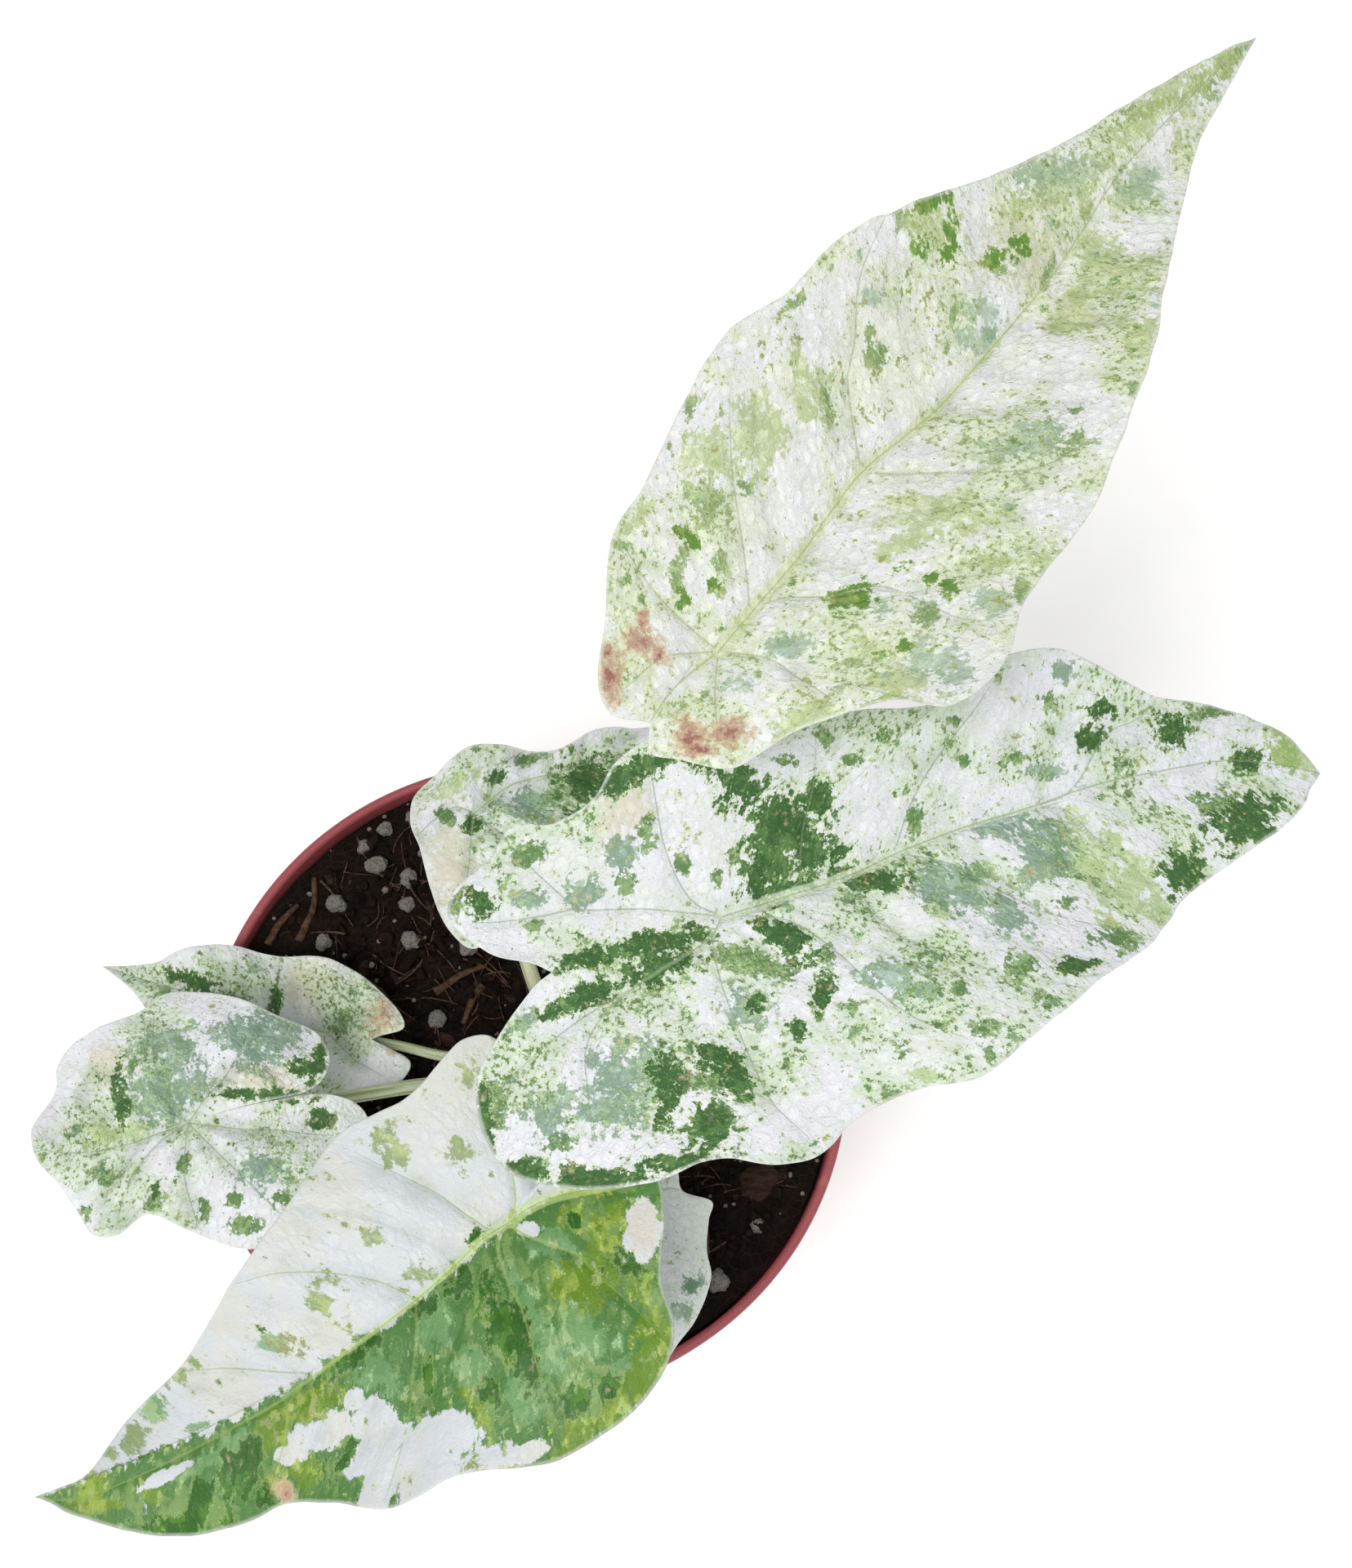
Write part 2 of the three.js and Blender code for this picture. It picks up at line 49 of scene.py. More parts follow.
def addNode(tree, kind, inputs=None, **settings):
    node = tree.nodes.new(kind)
    for name, value in settings.items():
        setattr(node, name, value)
    for name, value in (inputs or {}).items():
        socket = node.inputs[name]
        if isinstance(value, bpy.types.NodeSocket):
            tree.links.new(value, socket)
        elif isinstance(value, str):
            socket.default_value = toLinear(value)
        else:
            socket.default_value = value
    return node


def newSkin(name, preview):
    skin = bpy.data.materials.new(name)
    skin.use_nodes = True
    skin.node_tree.nodes.clear()
    skin.diffuse_color = toLinear(preview)
    return skin, skin.node_tree


def finishSkin(tree, colour, roughness, height=None, bump=0.3, reach=0.3, **extra):
    surface = {"Base Color": colour, "Roughness": roughness, **extra.get("values", {})}
    if height is not None:
        relief = addNode(tree, "ShaderNodeBump",
                         {"Strength": bump, "Distance": reach * mm, "Height": height})
        surface["Normal"] = relief.outputs["Normal"]
    shader = addNode(tree, "ShaderNodeBsdfPrincipled", surface)
    addNode(tree, "ShaderNodeOutputMaterial", {"Surface": shader.outputs["BSDF"]})


def layer(tree, under, over, value, low, high, most=1.0, ease="LINEAR"):
    # one colour over another where a value rises from low to high
    share = addNode(tree, "ShaderNodeMapRange",
                    {"Value": value, "From Min": low, "From Max": high, "To Max": most},
                    interpolation_type=ease)
    return addNode(tree, "ShaderNodeMix", {0: share.outputs["Result"], 6: under, 7: over},
                   data_type="RGBA").outputs[2]


def meshPiece(name, points, faces, skin, smooth=True, fields=None):
    mesh = bpy.data.meshes.new(name)
    mesh.from_pydata([tuple(p) for p in np.asarray(points, float) * mm], [], faces)
    for field, values in (fields or {}).items():
        values = np.asarray(values, np.float32)
        kind = "FLOAT_VECTOR" if values.ndim == 2 else "FLOAT"
        layer = mesh.attributes.new(field, kind, "POINT")
        layer.data.foreach_set("vector" if values.ndim == 2 else "value", values.ravel())
    mesh.validate()
    mesh.materials.append(skin)
    mesh.polygons.foreach_set("use_smooth", [smooth] * len(mesh.polygons))
    mesh.update()
    piece = bpy.data.objects.new(name, mesh)
    bpy.context.scene.collection.objects.link(piece)
    return piece


def place(piece, slotName, *nodes):
    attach(piece, "root")
    if nodes:
        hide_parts(*nodes)


view = {
    "eye": (11.1, -88.0, 499.0),
    "forward": (0.042, 0.36, -1.0),
    "lens": 50.0,
    "film": 36.0,
}
forward = Vector(view["forward"]).normalized()
right = forward.cross(Vector((0, 1, 0))).normalized()
up = right.cross(forward)
turn = Matrix((right, up, -forward)).transposed().to_4x4()
lensData = bpy.data.cameras.new("photoCamera")
lensData.sensor_fit = "VERTICAL"
lensData.sensor_height = view["film"]
lensData.lens = view["lens"]
lensData.clip_start = 0.01
camera = bpy.data.objects.new("photoCamera", lensData)
camera.matrix_world = Matrix.Translation(Vector(view["eye"]) * mm) @ turn
bpy.context.scene.collection.objects.link(camera)
bpy.context.scene.camera = camera

studio = {
    "sky": "#FFFFFF", "skyPower": 0.52,
    "lamps": [  # place in metres, size in metres, watts, colour
        ((-0.5, -0.8, 2.1), 0.9, 33.5, "#FFFDFA"),
        ((1.2, -0.9, 1.8), 1.4, 5.0, "#F4F7FF"),
    ],
    "floor": "#F4F4F3", "floorTones": ("#F1F1F0", "#F8F8F7"), "floorGlow": 0.2,
}
world = bpy.data.worlds.new("paleSky")
world.use_nodes = True
world.node_tree.nodes.clear()
sky = addNode(world.node_tree, "ShaderNodeBackground",
              {"Color": studio["sky"], "Strength": studio["skyPower"]})
addNode(world.node_tree, "ShaderNodeOutputWorld", {"Surface": sky.outputs["Background"]})
bpy.context.scene.world = world
for number, (spot, size, watts, colour) in enumerate(studio["lamps"]):
    lampData = bpy.data.lights.new(f"softbox{number + 1}", "AREA")
    lampData.shape = "DISK"
    lampData.size = size
    lampData.energy = watts
    lampData.color = toLinear(colour)[:3]
    lamp = bpy.data.objects.new(lampData.name, lampData)
    lamp.location = spot
    lamp.rotation_euler = (Vector((0, 0, 0.1)) - Vector(spot)).to_track_quat("-Z", "Y").to_euler()
    bpy.context.scene.collection.objects.link(lamp)
bpy.context.scene.view_settings.view_transform = "Standard"
bpy.context.scene.view_settings.look = "None"

# Painted board: flat, with a faint grain
floorSkin, tree = newSkin("paintedBoard", studio["floor"])
where = addNode(tree, "ShaderNodeTexCoord").outputs["Object"]
grain = addNode(tree, "ShaderNodeTexNoise", {"Vector": where, "Scale": 90.0, "Detail": 3.0})
tone = addNode(tree, "ShaderNodeMix", {0: grain.outputs["Fac"], 6: studio["floorTones"][0],
                                       7: studio["floorTones"][1]}, data_type="RGBA")
finishSkin(tree, tone.outputs[2], 0.9,
           values={"Emission Color": "#FFFFFF", "Emission Strength": studio["floorGlow"]})
floor = meshPiece("floor", [(-3000, -3000, 0), (3000, -3000, 0), (3000, 3000, 0), (-3000, 3000, 0)],
                  [(0, 1, 2, 3)], floorSkin, smooth=False)
print("camera, lamps and floor")

pot = {
    "rimRadius": 60, "height": 100, "baseRadius": 42, "wall": 1.5, "bottom": 2,
    "lipHeight": 13, "lipStep": 1.7, "lipRoundness": 0.95, "sides": 192,
    "drainHoles": 8, "drainRadius": 3.5, "drainRing": 31,
    "red": "#A24F55", "deepRed": "#8E4045", "scuff": "#B9736F", "dust": "#B39A8C",
}
lipInner = pot["rimRadius"] - 2 * pot["lipRoundness"]
ledgeTop = pot["height"] - pot["lipHeight"] + 2.4
ledgeFoot = pot["height"] - pot["lipHeight"] - 1


def innerRadiusAt(height):
    spread = pot["rimRadius"] - pot["lipStep"] - pot["baseRadius"]
    return pot["baseRadius"] - pot["wall"] + spread * height / pot["height"]


def turnedFaces(profile, sides):
    # profile runs from the axis, out and up, and back to the axis
    angles = np.arange(sides) / sides * 2 * math.pi
    points = [(0, 0, profile[0][1])]
    for radius, height in profile[1:-1]:
        points += [(radius * math.cos(a), radius * math.sin(a), height) for a in angles]
    points.append((0, 0, profile[-1][1]))
    faces = []
    rings = len(profile) - 2
    for i in range(sides):
        j = (i + 1) % sides
        faces.append((0, 1 + j, 1 + i))
        for ring in range(rings - 1):
            low, high = 1 + ring * sides, 1 + (ring + 1) * sides
            faces.append((low + i, low + j, high + j, high + i))
        last = 1 + (rings - 1) * sides
        faces.append((last + i, last + j, len(points) - 1))
    return points, faces


# Polypropylene, injection moulded: dull even red, a fine spark-eroded grain, paler where rubbed
potSkin, tree = newSkin("mouldedPolypropylene", pot["red"])
where = addNode(tree, "ShaderNodeTexCoord").outputs["Object"]
cloud = addNode(tree, "ShaderNodeTexNoise", {"Vector": where, "Scale": 38.0, "Detail": 4.0})
grain = addNode(tree, "ShaderNodeTexNoise", {"Vector": where, "Scale": 2200.0, "Detail": 2.0})
streaks = addNode(tree, "ShaderNodeMapping", {"Vector": where, "Scale": (260.0, 260.0, 22.0)})
wear = addNode(tree, "ShaderNodeTexNoise", {"Vector": streaks.outputs["Vector"], "Scale": 1.0, "Detail": 5.0,
                                            "Roughness": 0.7})
body = addNode(tree, "ShaderNodeMix", {0: cloud.outputs["Fac"], 6: pot["deepRed"], 7: pot["red"]},
               data_type="RGBA")
scuffed = layer(tree, body.outputs[2], pot["scuff"], wear.outputs["Fac"], 0.6, 0.74, 0.45)
axes = addNode(tree, "ShaderNodeSeparateXYZ", {"Vector": where})
lowDown = addNode(tree, "ShaderNodeMapRange", {"Value": axes.outputs["Z"], "From Min": 0.026, "From Max": 0.0,
                                               "To Max": 0.5}, interpolation_type="SMOOTHSTEP")
patchy = addNode(tree, "ShaderNodeMath", {0: lowDown.outputs["Result"], 1: cloud.outputs["Fac"]},
                 operation="MULTIPLY")
dusty = addNode(tree, "ShaderNodeMix", {0: patchy.outputs[0], 6: scuffed, 7: pot["dust"]},
                data_type="RGBA")
rough = addNode(tree, "ShaderNodeMapRange", {"Value": wear.outputs["Fac"], "To Min": 0.42, "To Max": 0.66})
finishSkin(tree, dusty.outputs[2], rough.outputs["Result"], grain.outputs["Fac"], 0.35, 0.15,
           values={"IOR": 1.49})

shoulder = pot["height"] - pot["lipHeight"]
outerShoulder = innerRadiusAt(shoulder) + pot["wall"]
profile = [(0, 1.0), (pot["baseRadius"] - 8, 1.0), (pot["baseRadius"] - 6.5, 0.7),
           (pot["baseRadius"] - 5.6, 0.0), (pot["baseRadius"] - 1.2, 0.0),
           (pot["baseRadius"] - 0.35, 0.35), (pot["baseRadius"], 1.2)]
profile += [(pot["baseRadius"] + (outerShoulder - pot["baseRadius"]) * (h - 1.2) / (shoulder - 1.8), h)
            for h in (4, 20, 40, 60, 76, shoulder - 0.6)]
profile += [(outerShoulder + 0.35, shoulder - 0.25), (pot["rimRadius"] - 1.4, shoulder - 0.05),
            (pot["rimRadius"] - 0.8, shoulder + 0.25), (pot["rimRadius"] - 0.55, shoulder + 0.9),
            (pot["rimRadius"] - 0.4, shoulder + 5), (pot["rimRadius"] - 0.15, pot["height"] - 2.4)]
for step in range(11):
    angle = step / 10 * math.pi
    profile.append((pot["rimRadius"] - pot["lipRoundness"] * (1 - math.cos(angle)),
                    pot["height"] - pot["lipRoundness"] * (1 - math.sin(angle))))
profile += [(lipInner - 0.2, 95), (lipInner - 0.4, ledgeTop), (innerRadiusAt(ledgeFoot), ledgeFoot),
            (innerRadiusAt(50), 50), (innerRadiusAt(3) - 0.1, 2.8),
            (innerRadiusAt(pot["bottom"]) - 1, pot["bottom"]), (0, pot["bottom"])]
points, faces = turnedFaces(profile, pot["sides"])
potPiece = meshPiece("pot_shell", points, faces, potSkin)
drills = bmesh.new()
for hole in range(pot["drainHoles"]):
    angle = (hole + 0.5) / pot["drainHoles"] * 2 * math.pi
    spot = Vector((math.cos(angle), math.sin(angle), 0)) * pot["drainRing"] * mm + Vector((0, 0, 0.001))
    bmesh.ops.create_cone(drills, cap_ends=True, segments=40, radius1=pot["drainRadius"] * mm,
                          radius2=pot["drainRadius"] * mm, depth=0.01, matrix=Matrix.Translation(spot))
drillMesh = bpy.data.meshes.new("drills")
drills.to_mesh(drillMesh)
drills.free()
drillPiece = bpy.data.objects.new("drills", drillMesh)
bpy.context.scene.collection.objects.link(drillPiece)
cut = potPiece.modifiers.new("drainHoles", "BOOLEAN")
cut.operation = "DIFFERENCE"
cut.solver = "EXACT"
cut.object = drillPiece
graph = bpy.context.evaluated_depsgraph_get()
potPiece.data = bpy.data.meshes.new_from_object(potPiece.evaluated_get(graph))
potPiece.modifiers.clear()
bpy.data.objects.remove(drillPiece)
creases = bmesh.new()
creases.from_mesh(potPiece.data)
bmesh.ops.remove_doubles(creases, verts=creases.verts, dist=1e-7)
for edge in creases.edges:
    edge.smooth = len(edge.link_faces) == 2 and edge.calc_face_angle(0) < math.radians(38)
creases.to_mesh(potPiece.data)
creases.free()
place(potPiece, "pot_plastic", "pot")
print("pot:", len(potPiece.data.polygons), "faces")

soil = {
    "top": 97.2, "relief": 1.1, "edge": 57.5, "rings": 92, "sides": 220, "foot": 2.3,
    # the soil and crumb tones are darker than damp mix alone: painted shade of the pot's inside
    "black": "#090605", "brown": "#1B110C", "tan": "#35251C",
    "crumbDark": "#0A0605", "crumbBrown": "#231711", "crumbPreview": "#33231A", "speck": "#756B62",
    "lumps": 0.85, "crumbSize": 3.2, "fine": 0.5, "fineSize": 0.9, "sink": 0.35, "fade": 4,
    "clearing": (7, 0, 11.5), "strewn": {"grain": 54.3, "hair": 51},
}


def soilHeight(x, y):
    lumps = (np.sin(0.21 * x + 1.3) * np.cos(0.17 * y - 0.6) + 0.6 * np.sin(0.43 * x - 0.31 * y + 2.1)
             + 0.4 * np.cos(0.62 * y + 0.37 * x))
    return soil["top"] + soil["relief"] * lumps / 2


dull = {"Specular IOR Level": 0.12}

# Peat, coir and bark mix, moist, darkened further as painted shade: nearly black, with brown strands and small
# pale specks
soilSkin, tree = newSkin("moistPottingMixPaintedShade", soil["brown"])
where = addNode(tree, "ShaderNodeTexCoord").outputs["Object"]
clods = addNode(tree, "ShaderNodeTexNoise", {"Vector": where, "Scale": 320.0, "Detail": 6.0, "Roughness": 0.7})
strands = addNode(tree, "ShaderNodeTexVoronoi", {"Vector": where, "Scale": 520.0}, feature="DISTANCE_TO_EDGE")
specks = addNode(tree, "ShaderNodeTexVoronoi", {"Vector": where, "Scale": 700.0})
earth = layer(tree, soil["black"], soil["brown"], clods.outputs["Fac"], 0.38, 0.72)
fibrous = layer(tree, earth, soil["tan"], strands.outputs["Distance"], 0.07, 0.0, 0.35)
pick = addNode(tree, "ShaderNodeSeparateColor", {"Color": specks.outputs["Color"]})
rare = addNode(tree, "ShaderNodeMath", {0: pick.outputs["Red"], 1: 0.93}, operation="GREATER_THAN")
near = addNode(tree, "ShaderNodeMath", {0: specks.outputs["Distance"], 1: 0.3}, operation="LESS_THAN")
speck = addNode(tree, "ShaderNodeMath", {0: rare.outputs[0], 1: near.outputs[0]}, operation="MULTIPLY")
specked = addNode(tree, "ShaderNodeMix", {0: speck.outputs[0], 6: fibrous, 7: soil["speck"]},
                  data_type="RGBA")
finishSkin(tree, specked.outputs[2], 0.86, clods.outputs["Fac"], 0.9, 0.7, values=dull)


def soilRelief(x, y):
    fade = min(max((soil["edge"] - math.hypot(x, y)) / soil["fade"], 0.0), 1.0)
    coarse = noise.fractal(Vector((x, y, 3.7)) / soil["crumbSize"], 0.8, 2.2, 4)
    fine = abs(noise.noise(Vector((x, y, 9.1)) / soil["fineSize"]))
    return (soil["lumps"] * coarse + soil["fine"] * fine - soil["sink"]) * (0.25 + 0.75 * fade)


angles = np.arange(soil["sides"]) / soil["sides"] * 2 * math.pi
points = [(0, 0, float(soilHeight(0, 0)))]
for ring in range(1, soil["rings"] + 1):
    reach = soil["edge"] * (ring / soil["rings"]) ** 0.85
    for angle in angles:
        x, y = reach * math.cos(angle), reach * math.sin(angle)
        points.append((x, y, float(soilHeight(x, y)) + soilRelief(x, y)))
for radius, height in ((lipInner - 0.75, ledgeTop + 0.3), (innerRadiusAt(ledgeFoot) - 0.4, ledgeFoot - 0.2),
                       (innerRadiusAt(2) - 1.4, soil["foot"])):
    points += [(radius * math.cos(a), radius * math.sin(a), height) for a in angles]
points.append((0, 0, soil["foot"]))
faces = []
rings = soil["rings"] + 3
for i in range(soil["sides"]):
    j = (i + 1) % soil["sides"]
    faces.append((0, 1 + i, 1 + j))
    for ring in range(rings - 1):
        inner, outer = 1 + ring * soil["sides"], 1 + (ring + 1) * soil["sides"]
        faces.append((inner + i, outer + i, outer + j, inner + j))
    last = 1 + (rings - 1) * soil["sides"]
    faces.append((last + j, last + i, len(points) - 1))
soilPiece = meshPiece("soil_bed", points, faces, soilSkin)
place(soilPiece, "potting_mix", "soil")
print("soil:", len(faces), "faces")


def lump(size, spin, spot, seed, detail, rough, fine):
    shape = bmesh.new()
    bmesh.ops.create_icosphere(shape, subdivisions=detail, radius=1)
    shift = Vector((seed * 3.17, seed * 1.31, seed * 0.77))
    for vert in shape.verts:
        swell = 1 + rough * noise.noise(vert.co * 1.3 + shift) + fine * noise.noise(vert.co * 4.5 + shift)
        vert.co = Vector(vert.co[i] * size[i] for i in range(3)) * swell
    bmesh.ops.rotate(shape, verts=shape.verts, matrix=Matrix.Rotation(math.radians(spin), 3, "Z"))
    bmesh.ops.translate(shape, verts=shape.verts, vec=Vector(spot))
    found = [tuple(v.co) for v in shape.verts], [tuple(v.index for v in f.verts) for f in shape.faces]
    shape.free()
    return found


def joined(parts):
    points, faces = [], []
    for somePoints, someFaces in parts:
        start = len(points)
        points += list(somePoints)
        faces += [tuple(start + i for i in face) for face in someFaces]
    return points, faces


grains = {
    "perlite": [
        (-29.5, 38.8, 2.3), (-28.3, 46, 1.8), (-32.2, 42.6, 1.6), (-23, 48.5, 2), (-37, 31, 2.2),
        (-23.5, 31.2, 1.8), (-23.5, 36.5, 2.1), (-39, 23.5, 1.9), (-22.5, 24, 2.2), (-51, 13, 1.8),
        (-17, 9, 2), (-11.5, 23, 2.2), (35.5, -39, 2.4), (43, -29, 1.8), (14, 44, 2.2), (38, 26, 2.4),
    ],
    "bark": [(43.5, -21, 9, 35), (47, 4, 8, 100), (8, -44, 9, 160), (-28, -38, 8, 60), (-2, 51, 7, 20)],
    "fibres": [
        [(-49.5, 23), (-47.5, 27), (-44.3, 31)], [(-43.5, 23.5), (-41.2, 31), (-41.5, 36.5)],
        [(-17.5, 14), (-12.5, 17.5), (-8, 19.5)], [(-8.6, 15.5), (-10.5, 12.5), (-12, 8)],
        [(31, -43), (33.5, -33), (32, -24)],
    ],
    "fibreRadius": 0.8, "perliteSize": 0.85,
    # the perlite tones are greyed as painted shade
    "perliteWhitePaintedShade": "#716D68", "perliteShade": "#47433F", "perliteStain": "#7A6858",
    "barkBrown": "#3F2A22", "barkDark": "#1E1310",
    "fibreTan": "#5A4335", "fibreDark": "#33231B",
}

# Perlite, heat-popped volcanic glass: chalky off-white greyed down as painted shade, full of tiny pits with
# painted shade in them
perliteSkin, tree = newSkin("poppedPerlite", grains["perliteWhitePaintedShade"])
where = addNode(tree, "ShaderNodeTexCoord").outputs["Object"]
pits = addNode(tree, "ShaderNodeTexVoronoi", {"Vector": where, "Scale": 1900.0})
stain = addNode(tree, "ShaderNodeTexNoise", {"Vector": where, "Scale": 500.0, "Detail": 4.0})
chalk = layer(tree, grains["perliteShade"], grains["perliteWhitePaintedShade"], pits.outputs["Distance"], 0.1, 0.5)
chalky = layer(tree, chalk, grains["perliteStain"], stain.outputs["Fac"], 0.55, 0.75, 0.5)
finishSkin(tree, chalky, 0.9, pits.outputs["Distance"], 0.6, 0.3)


def groundSkin(name, dark, light, scale, detail, torn, span, rough, bump, reach, pores=None, preview=None):
    # dull natural matter: noise mixes a dark and a light tone, and the same noise or fine pores give relief
    skin, tree = newSkin(name, preview or light)
    where = addNode(tree, "ShaderNodeTexCoord").outputs["Object"]
    if isinstance(scale, tuple):
        where = addNode(tree, "ShaderNodeMapping", {"Vector": where, "Scale": scale}).outputs["Vector"]
        scale = 1.0
    tones = addNode(tree, "ShaderNodeTexNoise", {"Vector": where, "Scale": scale, "Detail": detail,
                                                 "Roughness": torn})
    mixed = layer(tree, dark, light, tones.outputs["Fac"], *span)
    height = tones
    if pores:
        height = addNode(tree, "ShaderNodeTexNoise", {"Vector": where, "Scale": pores, "Detail": 2.0})
    finishSkin(tree, mixed, rough, height.outputs["Fac"], bump, reach, values=dull)
    return skin


# Pine bark, torn and damp: layered red-brown flakes
barkSkin = groundSkin("tornPineBark", grains["barkDark"], grains["barkBrown"], (260.0, 900.0, 1500.0), 5.0, 0.5,
                      (0.35, 0.68), 0.8, 0.8, 0.4)
# Coir and root fibre, dried: dull tan, mottled darker
fibreSkin = groundSkin("driedRootFibre", grains["fibreDark"], grains["fibreTan"], 900.0, 4.0, 0.5,
                       (0.35, 0.65), 0.75, 0.5, 0.2)
# Peat crumbs, damp, darkened further as painted shade: dark brown grains that catch a little light
crumbSkin = groundSkin("dampPeatCrumbPaintedShade", soil["crumbDark"], soil["crumbBrown"], 210.0, 4.0, 0.7,
                       (0.36, 0.68), 0.82, 0.7, 0.3, pores=2600.0, preview=soil["crumbPreview"])


def curveThrough(points, count):
    # centripetal spline through the points, evenly spaced
    p = [np.asarray(q, float) for q in points]
    p = [2 * p[0] - p[1]] + p + [2 * p[-1] - p[-2]]
    dense = []
    for i in range(1, len(p) - 2):
        gaps = [max(np.linalg.norm(p[i + k] - p[i + k - 1]) ** 0.5, 1e-4) for k in (0, 1, 2)]
        out = ((p[i] - p[i - 1]) / gaps[0] - (p[i + 1] - p[i - 1]) / (gaps[0] + gaps[1])
               + (p[i + 1] - p[i]) / gaps[1]) * gaps[1]
        into = ((p[i + 1] - p[i]) / gaps[1] - (p[i + 2] - p[i]) / (gaps[1] + gaps[2])
                + (p[i + 2] - p[i + 1]) / gaps[2]) * gaps[1]
        t = np.linspace(0, 1, 40, endpoint=False)[:, None]
        dense.append(p[i] + out * t + (-3 * p[i] + 3 * p[i + 1] - 2 * out - into) * t ** 2
                     + (2 * p[i] - 2 * p[i + 1] + out + into) * t ** 3)
    dense = np.vstack(dense + [p[-2][None]])
    run = np.concatenate([[0], np.cumsum(np.linalg.norm(np.diff(dense, axis=0), axis=1))])
    even = np.linspace(0, run[-1], count)
    return np.stack([np.interp(even, run, dense[:, k]) for k in range(dense.shape[1])], axis=1), run[-1]


def rod(path, radiusAt, sides):
    # closed tube along a path; radiusAt(part, angle) gives its radius
    steps = len(path)
    points = []
    normal = None
    for step, centre in enumerate(path):
        ahead = path[min(step + 1, steps - 1)] - path[max(step - 1, 0)]
        ahead = Vector(ahead).normalized()
        normal = (Vector((1, 0, 0)) if normal is None else normal)
        normal = (normal - ahead * normal.dot(ahead)).normalized()
        across = ahead.cross(normal)
        for side in range(sides):
            angle = side / sides * 2 * math.pi
            radius = radiusAt(step / (steps - 1), angle)
            outward = normal * math.cos(angle) + across * math.sin(angle)
            points.append(tuple(Vector(centre) + radius * outward))
    faces = [tuple(range(sides - 1, -1, -1))]
    for step in range(steps - 1):
        for side in range(sides):
            a, b = step * sides + side, step * sides + (side + 1) % sides
            faces.append((a, b, b + sides, a + sides))
    faces.append(tuple(range((steps - 1) * sides, steps * sides)))
    return points, faces


parts = []
for i, (x, y, radius) in enumerate(grains["perlite"]):
    radius = radius * grains["perliteSize"]
    spot = (x, y, float(soilHeight(x, y)) + 0.3 * radius)
    parts.append(lump((radius, radius * 0.9, radius * 0.85), 40 * i, spot, i + 1, 4, 0.35, 0.16))
place(meshPiece("perlite_grains", *joined(parts), perliteSkin), "perlite",
      *[f"perlite_{i + 1}" for i in range(16)])
parts = []
for i, (x, y, length, spin) in enumerate(grains["bark"]):
    spot = (x, y, float(soilHeight(x, y)) + 0.6)
    parts.append(lump((length / 2, length / 3.4, 1.6), spin, spot, i + 40, 4, 0.4, 0.22))
place(meshPiece("bark_chips", *joined(parts), barkSkin), "bark", *[f"bark_{i + 1}" for i in range(5)])
parts = []
for i, route in enumerate(grains["fibres"]):
    path, length = curveThrough([(x, y, float(soilHeight(x, y)) + 0.45) for x, y in route], 40)
    bend = lambda t, a, i=i: grains["fibreRadius"] * (1 - 0.4 * t) * (
        1 + 0.18 * noise.noise(Vector((t * 9, a, i * 5.0))))
    parts.append(rod(path, bend, 12))
place(meshPiece("root_fibres", *joined(parts), fibreSkin), "root_fibre", *[f"fibre_{i + 1}" for i in range(5)])
print("loose grains, chips and fibres")

